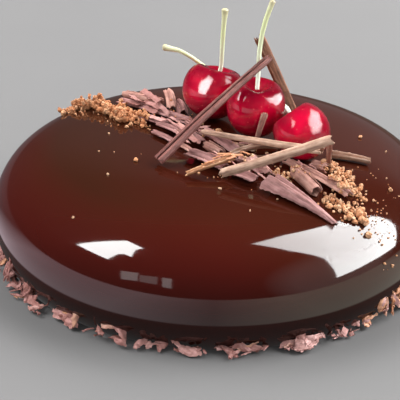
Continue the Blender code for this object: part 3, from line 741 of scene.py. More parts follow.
def sheet_shape(points, thickness):
    """A closed thin sheet round a grid of points; returns points and faces."""
    half = 0.5 * thickness[..., None] * surface_normals(points)
    both = np.concatenate([(points + half).reshape(-1, 3), (points - half).reshape(-1, 3)])
    under = thickness.size
    at = np.arange(under).reshape(thickness.shape)
    corners = (at[:-1, :-1], at[1:, :-1], at[1:, 1:], at[:-1, 1:])
    faces = []
    for face in np.stack(corners, axis=-1).reshape(-1, 4).tolist():
        faces += [face, [under + index for index in reversed(face)]]
    rim = np.concatenate([at[:, 0], at[-1, 1:], at[-2::-1, -1], at[0, -2:0:-1]]).tolist()
    faces += [[here, here + under, after + under, after]
              for here, after in zip(rim, rim[1:] + rim[:1])]
    return both, faces


def ring_faces(first, rings, sides):
    """Faces between rings of points that follow one another."""
    for ring in range(rings):
        near = first + ring * sides
        far = near + sides
        for side in range(sides):
            after = (side + 1) % sides
            yield near + side, far + side, far + after, near + after


def rim_taper(rows, columns, edge):
    """Thins a sheet from 1 inside to edge at its rim."""
    def ease(count):
        place = np.linspace(0.0, 1.0, count)
        return np.clip(np.minimum(place, 1.0 - place) * count / 3.0, 0.0, 1.0)

    return edge + (1.0 - edge) * np.minimum.outer(ease(rows), ease(columns))


def wander(x, y, z=0.0):
    """Smooth noise from -1 to 1."""
    return noise.noise(Vector((x, y, z)))


# ---- cake body
def add_glaze():
    dome_steps, foot_steps, sides = 90, 24, 256
    profile = []
    for step in range(1, dome_steps):
        angle = 0.5 * pi * (1.0 - step / dome_steps)
        profile.append((CAKE_RADIUS * cos(angle) ** (2 / TOP_SHARPNESS),
                        WIDEST_HEIGHT + DOME_HEIGHT * sin(angle) ** (2 / SIDE_SHARPNESS)))
    for step in range(foot_steps):
        height = WIDEST_HEIGHT * (1.0 - step / (foot_steps - 1))
        profile.append((glaze_radius(height), height))
    turns = np.linspace(0.0, tau, sides, endpoint=False)
    points = [(0.0, 0.0, CAKE_HEIGHT)]
    for radius, height in profile:
        points += [(radius * cos(turn), radius * sin(turn), height)
                   for turn in turns]
    points.append((0.0, 0.0, 0.0))
    last = len(points) - 1
    faces = list(ring_faces(1, len(profile) - 1, sides))
    for side in range(sides):
        after = (side + 1) % sides
        faces += [(0, 1 + side, 1 + after), (last - sides + after, last - sides + side, last)]
    return new_piece("glazed_body", points, faces, glaze_material(), ("cake",))


# ---- cherries and stems
def add_cherry(name, place, diameter, height, lean_angles, seam_angle, mat):
    bm = bmesh.new()
    bmesh.ops.create_uvsphere(bm, u_segments=112, v_segments=84, radius=1.0)
    seed = seam_angle
    for vert in bm.verts:
        around = atan2(vert.co.y, vert.co.x)
        from_stem = acos(max(-1.0, min(1.0, vert.co.z)))
        away = remainder(around - radians(seam_angle), tau)
        seam = exp(-(away / SEAM_WIDTH) ** 2)
        shoulder = 0.06 * exp(-((from_stem - 1.0) / 0.5) ** 2)
        radius = sin(from_stem) * (1.0 + shoulder - 0.03 * seam)
        lip = 0.12 * exp(-((from_stem - 0.75) / 0.4) ** 2)
        pit = PIT_DEPTH * exp(-(from_stem / PIT_WIDTH / (1.0 + 0.3 * seam)) ** 2)
        rise = cos(from_stem) + lip - pit
        swell = 1.0 + 0.010 * wander(vert.co.x * 1.4 + seed, vert.co.y * 1.4, vert.co.z * 1.4)
        reach = 0.5 * diameter / 1.05 * radius * swell
        vert.co = Vector((reach * cos(around), reach * sin(around),
                          0.5 * height * rise * swell)) * MM
    mesh = bpy.data.meshes.new(name + "_fruit")
    bm.to_mesh(mesh)
    bm.free()
    mesh.shade_smooth()
    fruit = bpy.data.objects.new(name + "_fruit", mesh)
    fruit.location = Vector(place) * MM
    fruit.rotation_euler = (radians(lean_angles[0]), radians(lean_angles[1]), 0.0)
    return finish_piece(fruit, mat, (name,))


def smooth_route(points, count):
    """Points on a Catmull-Rom curve through the given points."""
    knots = [Vector(point) for point in points]
    knots = [2 * knots[0] - knots[1]] + knots + [2 * knots[-1] - knots[-2]]
    spans = len(points) - 1
    route = []
    for index in range(count):
        place = index / (count - 1) * spans
        span = min(int(place), spans - 1)
        t = place - span
        a, b, c, d = knots[span:span + 4]
        route.append(0.5 * (2 * b + (c - a) * t + (2 * a - 5 * b + 4 * c - d) * t ** 2
                            + (3 * b - a - 3 * c + d) * t ** 3))
    return route


def tube_shape(route, radii, sides):
    """A closed tube along a route; returns points and faces."""
    points = []
    side = Vector((1.0, 0.3, 0.1))
    for index, place in enumerate(route):
        before = route[max(index - 1, 0)]
        after = route[min(index + 1, len(route) - 1)]
        along = (after - before).normalized()
        side = (side - along * side.dot(along)).normalized()
        over = along.cross(side)
        for turn in range(sides):
            angle = tau * turn / sides
            reach = radii[index][turn]
            points.append(place + side * (cos(angle) * reach)
                          + over * (sin(angle) * reach))
    faces = [(a, d, c, b) for a, b, c, d in ring_faces(0, len(route) - 1, sides)]
    last = (len(route) - 1) * sides
    faces += [tuple(range(sides))[::-1], tuple(range(last, last + sides))]
    return points, faces


def add_stem(name, knots, foot_width, end_width, mat):
    count, sides = 96, 16
    route = smooth_route(knots, count)
    radii = []
    for index in range(count):
        along = index / (count - 1)
        swell = max(0.0, (along - 1.0 + STEM_KNOB) / STEM_KNOB)
        size = 1.0 + 0.25 * along + swell * (end_width / foot_width - 1.25)
        if index == count - 1:
            size *= 0.72
        radii.append([0.5 * foot_width * size
                      * (1.0 + 0.07 * wander(0.9 * turn, 9.0 * along, len(knots)))
                      for turn in range(sides)])
    points, faces = tube_shape(route, radii, sides)
    along = np.repeat(np.linspace(0.0, 1.0, count), sides)
    return new_piece(name + "_stalk", [tuple(point) for point in points], faces, mat,
                     (name,), {"along": along})


# ---- chocolate curls
def roll_section(across, width):
    """A sheet rolled up once and a bit more, seen from its end."""
    turns = 1.15
    outer = 0.5 * (width - CURL_THICKNESS)
    radius = outer - 0.95 * turns * (1.0 - across)
    if width < NARROW_ROLL:
        turns = 0.8
        radius = outer
    angle = 2 * pi * turns * across
    return radius * cos(angle), radius * sin(angle)


def scroll_section(across, width):
    """A sheet rolled in from both edges, with a groove between the two rolls."""
    side = max(-1.0, min(1.0, (across - 0.5) / 0.04))
    inward = abs(2.0 * across - 1.0)
    outer = 0.25 * width
    turn = 250.0 * max(0.0, inward - 0.12) / 0.88
    angle = radians(-90.0 + copysign(turn, side))
    radius = (outer - 0.5 * CURL_THICKNESS) * (1.0 - 0.10 * inward)
    return side * outer * 1.05 + radius * cos(angle), radius * sin(angle)


def bark_section(across, width):
    """An arched strip with ribs along it, which fade out where it is narrow."""
    centred = 2.0 * across - 1.0
    arch = 0.22 * width * (1.0 - centred ** 2)
    ribs = 0.14 * max(0.0, width - PLAIN_STRIP) * cos(3.0 * pi * across)
    return 0.5 * (width - CURL_THICKNESS) * centred, arch + ribs


def gutter_section(across, width):
    """An open channel."""
    angle = radians(-200.0 + 220.0 * across)
    radius = 0.5 * (width - CURL_THICKNESS)
    return radius * cos(angle), radius * sin(angle)


# Section, columns across in the solids and here, depth of the broad and the narrow ridges
FORMS = {
    "roll": (roll_section, 12, 56, 0.06, 0.03),
    "scroll": (scroll_section, 15, 76, 0.13, 0.06),
    "bark": (bark_section, 7, 44, 0.24, 0.10),
    "gutter": (gutter_section, 6, 34, 0.10, 0.06),
}


def curl_grid(name, form, length, width_a, width_b, bend):
    """Grid of a curl's middle surface along X, and how deep each point lies in a groove (for
    painted shade).
    """
    section, cad_columns, columns, broad, narrow = FORMS[form]
    rows = max(18, int(length / ROW_STEP))
    draw = random.Random(name)
    rough = [[draw.uniform(-1.0, 1.0) for _ in range(cad_columns + 1)] for _ in range(2)]
    seed = draw.uniform(0.0, 100.0)

    def middle_point(row, column):
        along = row / rows
        bow = bend * (1.0 - (2.0 * along - 1.0) ** 2)
        low, high = (TORN_EDGE * (1.0 + wander(seed + shift, along * length * 0.9))
                     for shift in (0.0, 7.0))
        across = low + (1.0 - low - high) * (column / columns)
        y, z = section(across, width_a + (width_b - width_a) * along)
        end = 0 if along < 0.5 else 1
        inward = min(along, 1.0 - along)
        torn = np.interp(across * cad_columns, range(cad_columns + 1), rough[end])
        ragged = RAGGED_END * torn * max(0.0, 1.0 - 3.0 * inward)
        tip = max(0.0, 1.0 - inward * length / TIP_LENGTH)
        ragged += 0.55 * tip * wander(seed + 3.0, across * 0.9 * cad_columns, end * 5.0)
        return (along - 0.5) * length + ragged, y + 0.6 * bow, z + bow

    def relief_at(row, column):
        x, y = row / rows * length, column / columns * cad_columns
        return (broad * wander(seed, 1.1 * y, 0.06 * x)
                + narrow * wander(seed + 9.0, 3.4 * y, 0.16 * x))

    points = grid(rows, columns, middle_point)
    relief = grid(rows, columns, relief_at)
    points += surface_normals(points) * relief[..., None]
    return points, np.clip(0.5 - 0.7 * relief / (broad + narrow), 0.0, 1.0)


def node_points(name):
    """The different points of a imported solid, in mm."""
    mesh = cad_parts[name].data
    points = np.zeros(3 * len(mesh.vertices))
    mesh.vertices.foreach_get("co", points)
    return np.unique(points.reshape(-1, 3).round(7), axis=0) / MM


def lying_pose(name, form, end_a, end_b, width_a, width_b, bend):
    """Where a lying curl rests: its heading from the plan, its tilt and height from its
    solid, which was settled on what lies below it."""
    middle = np.add(end_a, end_b) / 2
    heading = atan2(end_b[1] - end_a[1], end_b[0] - end_a[0])
    points = node_points(name)
    along = (points[:, :2] - middle) @ (cos(heading), sin(heading))
    slope = np.polyfit(along, points[:, 2], 1)[0]
    tilt = radians(2.0 * round(degrees(atan(slope)) / 2.0))
    section, columns = FORMS[form][:2]
    local = []
    for row in range(4):
        width = width_a + (width_b - width_a) * row / 3
        bow = bend * (1.0 - (2.0 * row / 3 - 1.0) ** 2)
        local += [section(column / columns, width)[1] + bow for column in range(columns + 1)]
    turned = points[:, 2] * cos(tilt) - along * sin(tilt)
    high = 0.5 * (turned.max() + turned.min()) - 0.5 * (max(local) + min(local))
    height = high / cos(tilt)
    turn = Matrix.Rotation(heading, 4, "Z") @ Matrix.Rotation(-tilt, 4, "Y")
    return Matrix.Translation(Vector((*middle, height)) * MM) @ turn


def leaning_pose(end_a, end_b, roll):
    a, b = Vector(end_a) * MM, Vector(end_b) * MM
    along = (b - a).normalized()
    side = Vector((0, 0, 1)).cross(along).normalized()
    over = along.cross(side)
    turn = Matrix((along, side, over)).transposed().to_4x4()
    return Matrix.Translation((a + b) / 2) @ turn @ Matrix.Rotation(radians(roll), 4, "X")


def add_curl(name, form, length, width_a, width_b, bend, pose, mat):
    points, groove = curl_grid(name, form, length, width_a, width_b, bend)
    both, faces = sheet_shape(points, SHEET_THICKNESS * rim_taper(*groove.shape, 0.45))
    mesh = mesh_of(name + "_sheet", both, faces,
                   {"groove": np.concatenate([groove.ravel(), 1.0 - groove.ravel()])})
    piece = bpy.data.objects.new(name + "_sheet", mesh)
    piece.matrix_world = pose
    return finish_piece(piece, mat, (name,))


def add_curls():
    mats = {color: chocolate_material("curl_" + color, *tones)
            for color, tones in CURL_COLORS.items()}
    pieces = []
    for name, (form, end_a, end_b, *sizes, color) in {**LYING_CURLS, **LEANING_CURLS}.items():
        if name in LYING_CURLS:
            pose = lying_pose(name, form, end_a, end_b, *sizes)
        else:
            pose = leaning_pose(end_a, end_b, sizes.pop())
        pieces.append(add_curl(name, form, dist(end_a, end_b), *sizes, pose, mats[color]))
    return pieces


# ---- crumbs
def shape_of(bm):
    """Points and faces of a mesh under construction, which is then given up."""
    bm.verts.index_update()
    shape = ([tuple(vert.co) for vert in bm.verts],
             [tuple(vert.index for vert in face.verts) for face in bm.faces])
    bm.free()
    return shape


def crumb_shape(place, size, draw):
    """The same rough crumb as in the solids, with a finer, lumpy surface."""
    bm = bmesh.new()
    made = bmesh.ops.create_icosphere(bm, subdivisions=1, radius=1.0)
    stretch = Vector([draw.uniform(0.75, 1.15) for _ in range(3)])
    spin = Matrix.Rotation(draw.uniform(0, tau), 3, "Z")
    middle = Vector(place)
    for vert in made["verts"]:
        rough = vert.co * draw.uniform(0.8, 1.1)
        vert.co = middle + spin @ (rough * stretch) * 0.5 * size
    bmesh.ops.subdivide_edges(bm, edges=bm.edges[:], cuts=2, smooth=0.35, use_grid_fill=True)
    for vert in bm.verts:
        lump = (0.16 * wander(*(vert.co * (2.4 / size))) * size
                + 0.24 * wander(*(vert.co * 1.7)) * min(1.0, 0.5 * size))
        vert.co += (vert.co - middle).normalized() * lump
    return shape_of(bm)


def scattered(start, finish, along, spread, draw):
    """A place on the plan near the line from start to finish."""
    return tuple(a + (b - a) * along + draw.gauss(0.0, spread[0]) * spread[1]
                 for a, b in zip(start, finish))


def heap_places(draw):
    """Place and size of each crumb that the solids hold."""
    for start, finish, spread, count, sizes, layers in CRUMB_HEAPS:
        for index in range(count):
            along = (index + draw.random()) / count
            x, y = scattered(start, finish, along, (0.45, spread), draw)
            size = draw.uniform(*sizes)
            rest = glaze_height(x, y) + 0.5 * size - BURIED_DEPTH
            yield (x, y, rest + 0.9 * draw.randrange(layers)), size
    for x, y, size in LOOSE_CRUMBS:
        yield (x, y, glaze_height(x, y) + 0.5 * size - BURIED_DEPTH), size


def dust_shape(place, size, draw):
    """A small broken crumb with flat faces."""
    bm = bmesh.new()
    bmesh.ops.create_icosphere(bm, subdivisions=2 if size > 1.3 else 1, radius=0.5 * size)
    stretch = Vector([draw.uniform(0.65, 1.25) for _ in range(3)])
    shift = Vector((draw.uniform(0.0, 50.0), 0, 0))
    for vert in bm.verts:
        rough = 1.0 + 0.55 * wander(*(vert.co * (2.6 / size) + shift))
        vert.co = vert.co * stretch * rough * draw.uniform(0.88, 1.08) + place
    return shape_of(bm)


class HeightField:
    """Heights of what lies on the cake, on a square grid, to rest small things on."""

    def __init__(self, tree, reach=72.0, cell=0.35, above=110.0):
        self.reach = reach
        self.cell = cell
        self.count = int(2 * reach / cell)
        self.level = np.full((self.count, self.count), -1.0)
        down = Vector((0, 0, -1))
        for row in range(self.count):
            for column in range(self.count):
                x, y = row * cell - reach, column * cell - reach
                hit = tree.ray_cast(Vector((x, y, above)), down)[0]
                if hit is not None:
                    self.level[row, column] = hit.z

    def cells(self, points):
        """Grid rows and columns of points, and which of them are on the grid."""
        places = ((np.asarray(points)[:, :2] + self.reach) / self.cell).round().astype(int)
        inside = ((places >= 0) & (places < self.count)).all(axis=1)
        return places, inside

    def heights(self, points):
        places, inside = self.cells(points)
        found = np.full(len(places), -1.0)
        found[inside] = self.level[places[inside, 0], places[inside, 1]]
        return found

    def lay(self, points):
        """Raise the field to the points of a thing that now lies there."""
        places, inside = self.cells(points)
        np.maximum.at(self.level, (places[inside, 0], places[inside, 1]),
                      np.asarray(points)[inside, 2])


def resting_line(offsets, heights):
    """Height at the middle, and slope, of the lowest line above all the given heights."""
    best = (heights[len(offsets) // 2], 0.0)
    for a, low in zip(offsets, heights):
        for b, high in zip(offsets, heights):
            if a < 0.0 < b:
                slope = (high - low) / (b - a)
                if low - slope * a > best[0]:
                    best = (low - slope * a, slope)
    return best


def add_bit(pile, field, fruits, place, heading, length, width, tint, highest, draw):
    """Lay one small flake on the pile, or leave it out where there is no room."""
    along = np.array((cos(heading), sin(heading)))
    aside = np.array((-along[1], along[0]))
    offsets = np.linspace(-0.5, 0.5, 7) * length
    heights = [field.heights([place + along * offset + aside * shift * width
                              for shift in (-0.4, 0.0, 0.4)]).max() for offset in offsets]
    height, slope = resting_line(offsets, heights)
    if min(heights) < BITS_LOWEST or abs(slope) > BITS_STEEPEST or height > highest:
        return
    for kept, reach in KEPT_OPEN:
        if min(dist(place + along * offset, kept) for offset in offsets) < reach:
            return
    height += 0.25
    lean = atan(slope)
    forward = Vector((along[0] * cos(lean), along[1] * cos(lean), sin(lean)))
    roll = draw.gauss(0.0, 0.35)
    side = Vector((aside[0], aside[1], 0.0))
    side = side * cos(roll) + forward.cross(side) * sin(roll)
    over = forward.cross(side)
    middle = Vector((*place, height + 0.5 * width * abs(sin(roll))))
    if min(tree.find_nearest(middle)[3] for tree in fruits) < 0.5 * length + FRUIT_CLEARANCE:
        return
    bow = draw.uniform(-0.04, 0.07) * length

    def corner(row, column):
        arch = bow if column == 1 else 0.0
        return (middle + forward * (0.5 * length * (column - 1))
                + side * (width * (row - 0.5)) + over * (arch - bow / 2))

    shape = torn_sheet(grid(1, 2, corner), rows=5, columns=12, crumple=0.30, tear=0.45,
                       thickness=0.55, seed=draw.uniform(0.0, 900.0))
    pile.add(*shape, tint)
    field.lay(shape[0])


def add_bits(mat, field, fruits):
    """Broken bits of the curls, which fill the pile between the large ones."""
    pile = Pile()
    draw = random.Random(BITS_SEED)
    for start, finish, spread, count, lengths, widths in CHOCOLATE_BITS:
        for _ in range(count):
            place = scattered(start, finish, draw.random(), (0.5, spread), draw)
            heading = radians(BITS_HEADING + draw.gauss(0.0, 10.0))
            length = lengths[0] + (lengths[1] - lengths[0]) * draw.random() ** 1.5
            width = min(draw.uniform(*widths), 0.5 * length)
            highest = BITS_TOP[draw.random() < BITS_ON_TOP]
            add_bit(pile, field, fruits, np.array(place), heading, length, width,
                    draw.uniform(0.55, 1.05), highest, draw)
    for x, y, angle, length, width in AMBER_FLAKES:
        add_bit(pile, field, fruits, np.array((x, y)), radians(angle), length, width,
                AMBER_TINT, AMBER_TOP, draw)
    return pile.to_object("chocolate_bits", mat)


def add_crumbs(mat, cad_trees, field, fruits):
    """The crumbs of the solids, then the fine ones between and round them."""
    pile = Pile()
    draw, tints, dust = (random.Random(CRUMB_SEED + step) for step in range(3))
    for (x, y, z), size in heap_places(draw):
        points, faces = crumb_shape((x, y, z), size, draw)
        near = min(tree.find_nearest(Vector((x, y, z)))[3] for tree in cad_trees)
        if near > 0.62 * size + GAP:
            pile.add(points, faces, tints.uniform(*CRUMB_TINTS[x < 0.0 < y]))
            field.lay(points)
    base = field.level.copy()

    def lay_speck(x, y, size, tint, pile_height):
        footing = [(x + 0.3 * size * cos(turn), y + 0.3 * size * sin(turn))
                   for turn in (0.0, 1.6, 3.1, 4.7)]
        rest = float(np.median(field.heights(footing)))
        middle = Vector((x, y, rest + 0.34 * size))
        points, faces = dust_shape(middle, size, dust)
        places, inside = field.cells([(x, y)])
        below = base[tuple(places[0])] if inside[0] else 0.0
        away = min(tree.find_nearest(middle)[3] for tree in fruits)
        free = all(dist((x, y), kept) > radius for kept, radius in KEPT_OPEN)
        highest = min(below + pile_height, CRUMBS_TOP)
        if free and 0.0 < rest < highest and away > 0.5 * size:
            pile.add(points, faces, tint)
            field.lay(points)

    for start, finish, spread, count, sizes, pile_height in CRUMB_DUST:
        for _ in range(count):
            x, y = scattered(start, finish, dust.random(), (0.5, spread), dust)
            size = sizes[0] + (sizes[1] - sizes[0]) * dust.random() ** 2.0
            tint = dust.uniform(*DUST_TINTS[x < 0.0 < y])
            lay_speck(x, y, size, tint, pile_height * dust.uniform(0.4, 1.0))
    for x, y, size in SPECKS:
        lay_speck(x, y, size, 1.0, 1.0)
    return pile.to_object("biscuit_crumbs", mat, ("cake",), sharp=24.0)


# ---- shavings at the foot
def coarse_shaving(angle, low_radius, top_height, length, skew, draw):
    """The two rows of three points that a shaving's solid is made of."""
    outward = Vector((cos(angle), sin(angle), 0.0))
    sideways = Vector((-sin(angle), cos(angle), 0.0))
    top_radius = glaze_radius(top_height) - 1.2
    low = outward * low_radius + Vector((0, 0, 0.5 * SHAVING_THICKNESS + 0.4))
    top = outward * top_radius + Vector((0, 0, top_height))

    def corner(row, column):
        along = 0.5 * column - 0.5
        place = top.lerp(low, row) + sideways * (along * length + skew * (row - 0.5))
        place += outward * draw.uniform(-0.5, 0.5) - outward * 3.0 * along ** 2
        place.z += draw.uniform(-0.3, 0.5) + (1.0 - row) * draw.uniform(-1.4, 1.4)
        place.z = max(place.z, 0.5 * SHAVING_THICKNESS + 0.3)
        return place

    return grid(1, 2, corner)


def on_sheet(corners, s, t):
    """The point at the shares s and t of the bowed sheet through two rows of three points."""
    weights = ((1 - s) * (1 - 2 * s), 4 * s * (1 - s), s * (2 * s - 1))
    upper, lower = (sum(w * corner for w, corner in zip(weights, edge)) for edge in corners)
    return upper * (1 - t) + lower * t


def torn_share(share, edge, low_seed, high_seed, along):
    """A share of a side, moved in from both of its torn ends."""
    low, high = wander(low_seed, along), wander(high_seed, along)
    return edge * (1 + low) + share * (1.0 - edge * (2 + low + high))


def torn_sheet(corners, rows, columns, crumple, tear, thickness, seed):
    """A crumpled flake with torn edges through two rows of three points."""
    size = np.linalg.norm(corners[0, 2] - corners[0, 0])
    depth = np.linalg.norm(corners[1, 1] - corners[0, 1])

    def place(row, column):
        s = column / columns
        t = torn_share(row / rows, tear / max(depth, 1.0), seed, seed + 5.0, s * size * 0.8)
        s = torn_share(s, tear / max(size, 1.0), seed + 2.0, seed + 8.0, t * depth * 0.9)
        return on_sheet(corners, s, t)

    def lift(row, column):
        u, v = row / rows * depth, column / columns * size
        return crumple * (wander(seed, 0.30 * u, 0.30 * v)
                          + 0.35 * wander(seed + 4.0, 0.9 * u, 0.9 * v))

    points = grid(rows, columns, place)
    points += surface_normals(points) * grid(rows, columns, lift)[..., None]
    points[..., 2] = np.maximum(points[..., 2], 0.5 * thickness + 0.1)
    return sheet_shape(points, thickness * rim_taper(rows + 1, columns + 1, 0.5))


def shard(pile, corners, place, size, turn, draw):
    """One torn splinter, cut out of a shaving's sheet: its place in shares of the sheet,
    its length and width, and its turn. It is warmer in colour towards the right."""
    length = np.linalg.norm(corners[0, 2] - corners[0, 0])
    depth = max(np.linalg.norm(corners[1, 1] - corners[0, 1]), 2.0)
    narrow = draw.uniform(0.15, 0.7)
    twist = draw.uniform(-0.9, 0.9)

    def corner(row, column):
        x = (column - 1) * 0.5 * size[0]
        y = (row - 0.5) * size[1] * (1.0 - (1.0 - narrow) * 0.5 * column)
        s = place[0] + (x * cos(turn) - y * sin(turn)) / length
        t = place[1] + (x * sin(turn) + y * cos(turn)) / depth
        point = on_sheet(corners, min(max(s, 0.0), 1.0), min(max(t, -0.12), 1.0))
        outward = np.array((point[0], point[1], 0.0))
        outward /= np.linalg.norm(outward)
        return point + outward * (twist * (column - 1) * (row - 0.5)
                                  + draw.uniform(-0.4, 0.8))

    cut = grid(1, 2, corner)
    tint = draw.uniform(0.40, 0.90) + (0.35 if draw.random() < 0.18 else 0.0)
    warm = 0.55 * min(max((corners.mean(axis=(0, 1))[0] - 10.0) / 60.0, 0.0), 1.0)
    points, faces = torn_sheet(cut, rows=8, columns=12, crumple=0.75,
                               tear=draw.uniform(0.5, 1.1), thickness=0.60,
                               seed=draw.uniform(0, 900))
    low, high = box_sides()
    points[:, :2] = np.clip(points[:, :2], low + 0.1, high - 0.1)
    pile.add(points, faces, tint + warm)


def box_sides():
    """The low and high sides of the solids' box on the plan."""
    return [np.array(corner[:2]) / MM for corner in cad_box]


def add_shavings(mat):
    pile = Pile()
    draw = random.Random(SHAVING_SEED)
    pieces = random.Random(SHAVING_SEED + 1)
    sheets = []
    for index in range(SHAVING_COUNT):
        angle = tau * (index + draw.uniform(0.1, 0.9)) / SHAVING_COUNT
        length = draw.uniform(*SHAVING_LENGTH)
        top_height = draw.uniform(*SHAVING_RISE)
        low_radius = FOOT_RADIUS + draw.uniform(*SHAVING_REACH)
        sheets.append((coarse_shaving(angle, low_radius, top_height, length,
                                      draw.uniform(-4.0, 4.0), draw), False))
    for angle, height, width in TALL_SHAVINGS:
        sheets.append((coarse_shaving(radians(angle), FOOT_RADIUS + 6.0, height, width,
                                      draw.uniform(-3.0, 3.0), draw), True))
    for corners, tall in sheets:
        count, *sizes = SPLINTERS
        for _ in range(TALL_SPLINTERS[0] if tall else count):
            place = (pieces.uniform(0.1, 0.9), pieces.uniform(0.2, 0.9))
            size = [pieces.uniform(*ends) for ends in sizes]
            turn = pieces.choice((0.0, 0.0, 1.4)) + pieces.gauss(0.0, 0.45)
            if tall:
                place = (place[0], pieces.uniform(0.3, 0.7))
                size = [pieces.uniform(*ends) for ends in TALL_SPLINTERS[1:]]
                turn = pieces.choice((0.8, 1.57, 2.4)) + pieces.gauss(0.0, 0.3)
            shard(pile, corners, place, size, turn, pieces)
    add_small_flakes(pile, pieces)
    return pile.to_object("foot_shavings", mat, ("cake",))


def small_flake(draw):
    """The two rows of three points that a small flake at the foot is made of."""
    angle = draw.uniform(0.0, tau)
    radius = FOOT_RADIUS + draw.uniform(0.8, 5.2)
    length, width = draw.uniform(2.0, 6.5), draw.uniform(1.0, 3.2)
    heading = angle + pi / 2 + draw.gauss(0.0, 0.7)
    slope = draw.gauss(0.0, 0.5)
    height = draw.uniform(0.6, 2.2) + 0.5 * width * abs(sin(slope))
    middle = Vector((radius * cos(angle), radius * sin(angle), height))
    along = Vector((cos(heading), sin(heading), 0.25 * draw.gauss(0, 1)))
    side = Vector((-sin(heading) * cos(slope), cos(heading) * cos(slope), sin(slope)))

    def corner(row, column):
        bow = 0.25 * length * (1 if column == 1 else 0) * draw.uniform(0.0, 0.6)
        return (middle + along * (column - 1) * 0.5 * length
                + side * (row - 0.5) * width + along.cross(side) * bow)

    return grid(1, 2, corner)


def add_small_flakes(pile, draw):
    """Smaller flakes between the shavings, in the cake's box."""
    low, high = box_sides()
    for made in range(1, SMALL_FLAKES + 1):
        corners = small_flake(draw)
        flat = corners[..., :2]
        if ((flat > low + 0.5) & (flat < high - 0.5)).all():
            pile.add(*torn_sheet(corners, rows=8, columns=12, crumple=0.5, tear=0.35,
                                 thickness=0.45, seed=500.0 + made), draw.uniform(0.15, 0.9))


# ---- stage
def add_stage(name, corners, faces, mat, attributes=None, seen=False):
    """A piece of the stage. Where it isn't seen, only the gloss shows it."""
    mesh = mesh_of(name, corners, faces, attributes)
    mesh.materials.append(mat)
    piece = bpy.data.objects.new(name, mesh)
    link(piece)
    piece.visible_camera = piece.visible_diffuse = piece.visible_shadow = seen
    return piece


def add_plane(name, side, height, mat, seen=False):
    """A level square, which reaches as far as side to all four sides."""
    corners = [(x * side, y * side, height) for x, y in ((-1, -1), (1, -1), (1, 1), (-1, 1))]
    return add_stage(name, corners, [(0, 1, 2, 3)], mat, seen=seen)


def limit_light(source, receivers, spared=()):
    """Let a source light only the receivers, or all but the spared."""
    lit = bpy.data.collections.new(source.name + "_receivers")
    for obj in receivers or spared:
        lit.objects.link(obj)
    if not receivers:
        for item in lit.collection_objects:
            item.light_linking.link_state = "EXCLUDE"
    source.light_linking.receiver_collection = lit


def add_card(name, outline, azimuth, elevation, brightness, fruits):
    """A bright card, placed so that the glaze mirrors it inside the given outline."""
    facing = direction(azimuth, elevation)
    corners = []
    for px, py in outline:
        place, ray = glaze_seen_at(px, py)
        normal = glaze_normal(place)
        mirrored = ray - normal * (2.0 * ray.dot(normal))
        reach = (CARD_DISTANCE - place.dot(facing)) / mirrored.dot(facing)
        corners.append(tuple(place + mirrored * reach))
    across = [px for px, _ in outline]
    fade = np.interp(across, [min(across), 0.3 * min(across) + 0.7 * max(across)],
                     [DIM_END.get(name, 1.0), 1.0])
    card = add_stage(name, corners, [tuple(range(len(corners)))],
                     glow_material(name + "_glow", brightness), {"fade": fade})
    limit_light(card, (), fruits)


def add_soft_card(name, fruit, outline, brightness):
    """A window with soft edges, placed so that a cherry mirrors it inside the outline."""
    tree = search_tree(fruit)
    middle = np.mean(outline, axis=0)
    split = 5
    route = [np.add(np.multiply(here, 1 - k / split), np.multiply(after, k / split))
             for here, after in zip(outline, outline[1:] + outline[:1]) for k in range(split)]

    def mirrored(pixel):
        ray = pixel_ray(*pixel)
        place, normal = tree.ray_cast(camera_place(), ray)[:2]
        if place is None:
            return None
        return place + (ray - normal * (2.0 * ray.dot(normal))) * CARD_DISTANCE

    corners, fade = [mirrored(middle)], [1.0]
    for scale, level in SOFT_RINGS:
        for pixel in route:
            reach = scale
            corner = None
            while corner is None:
                corner = mirrored(middle + (pixel - middle) * reach)
                reach -= 0.05
            corners.append(corner)
            fade.append(level)
    count = len(route)
    faces = [(0, 1 + k, 1 + (k + 1) % count) for k in range(count)]
    faces += ring_faces(1, len(SOFT_RINGS) - 1, count)
    card = add_stage(name, [tuple(corner) for corner in corners], faces,
                     glow_material(name + "_glow", brightness), {"fade": fade})
    limit_light(card, (fruit,))


def add_lamp(name, azimuth, elevation, power):
    lamp = bpy.data.lights.new(name, "AREA")
    lamp.shape = "SQUARE"
    lamp.size = LAMP_SIDE * MM
    lamp.energy = power
    lamp.color = (1.0, 0.985, 0.96)
    obj = bpy.data.objects.new(name, lamp)
    away = direction(azimuth, elevation)
    obj.location = away * LAMP_DISTANCE * MM
    obj.rotation_mode = "QUATERNION"
    obj.rotation_quaternion = away.to_track_quat("Z", "Y")
    obj.visible_glossy = False
    obj.visible_camera = False
    link(obj)
    return obj


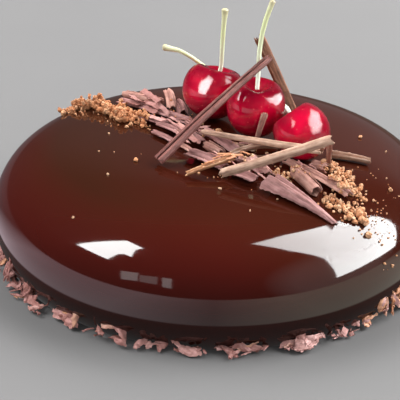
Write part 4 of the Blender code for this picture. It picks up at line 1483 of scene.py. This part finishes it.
def add_world():
    """Soft grey surroundings: for the gloss, pale walls low down at the back and at the
    front right, and dim elsewhere."""
    world = bpy.data.worlds.new("studio")
    bpy.context.scene.world = world
    world.use_nodes = True
    tree = world.node_tree
    sky = node(tree, "ShaderNodeTexCoord").outputs["Generated"]
    low = remap(tree, axis(tree, sky, "Z"), 0.38, 0.54, 1.0, 0.0)
    behind = remap(tree, axis(tree, sky, "Y"), 0.55, 0.80)
    across = remap(tree, axis(tree, sky, "X"), -0.40, 0.40, *WALL_BEHIND)
    back = calculate(tree, "MULTIPLY", calculate(tree, "MULTIPLY", low, behind), across)
    facing = vector_step(tree, "DOT_PRODUCT", sky, direction(*WALL_SIDE[:2]))
    side = remap(tree, facing, *WALL_SIDE[2:4], 0.0, WALL_SIDE[4])
    glossy = calculate(tree, "ADD", calculate(tree, "ADD", back, side), WALL_DIM)
    path = node(tree, "ShaderNodeLightPath").outputs
    diffuse = node(tree, "ShaderNodeMix", {"Factor": path["Is Diffuse Ray"], "A": glossy,
                                           "B": SKY_LIGHT})
    seen = node(tree, "ShaderNodeMix", {"Factor": path["Is Camera Ray"],
                                        "A": diffuse.outputs[0], "B": SKY_SEEN})
    background = tree.nodes["Background"]
    background.inputs["Color"].default_value = (0.98, 0.99, 1.0, 1.0)
    tree.links.new(seen.outputs[0], background.inputs["Strength"])


# ---- the whole scene
def main():
    bpy.context.scene.view_settings.view_transform = "Standard"
    add_camera()
    add_world()
    add_plane("floor", FLOOR_SIDE, -0.05, floor_material(), seen=True)
    table = add_plane("mirrored_table", FLOOR_SIDE - 100.0, -0.03, table_material())
    table.visible_transmission = False
    lamps = {name: add_lamp(name, *settings) for name, settings in LAMPS.items()}

    cad_trees = [search_tree(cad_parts[name]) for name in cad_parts
                 if name != "cake"]
    body = add_glaze()
    skin = cherry_material()
    fruits = [add_cherry(name, *sizes, skin) for name, sizes in CHERRIES.items()]
    limit_light(lamps[FRUIT_LAMP], fruits)
    limit_light(lamps[OTHERS_LAMP], (), fruits)
    for name, settings in CARDS.items():
        add_card(name, *settings, fruits)
    for name, (fruit, *settings) in SOFT_CARDS.items():
        add_soft_card(name, fruits[list(CHERRIES).index(fruit)], *settings)
    stalk = stem_material()
    stalks = [add_stem(name, *sizes, stalk) for name, sizes in STEMS.items()]
    field = HeightField(search_tree(body, *add_curls()))
    flakes = flake_material()
    fruit_trees = [search_tree(fruit) for fruit in fruits + stalks]
    add_bits(flakes, field, fruit_trees)
    add_crumbs(crumb_material(), cad_trees, field, fruit_trees)
    add_shavings(flakes)


main()
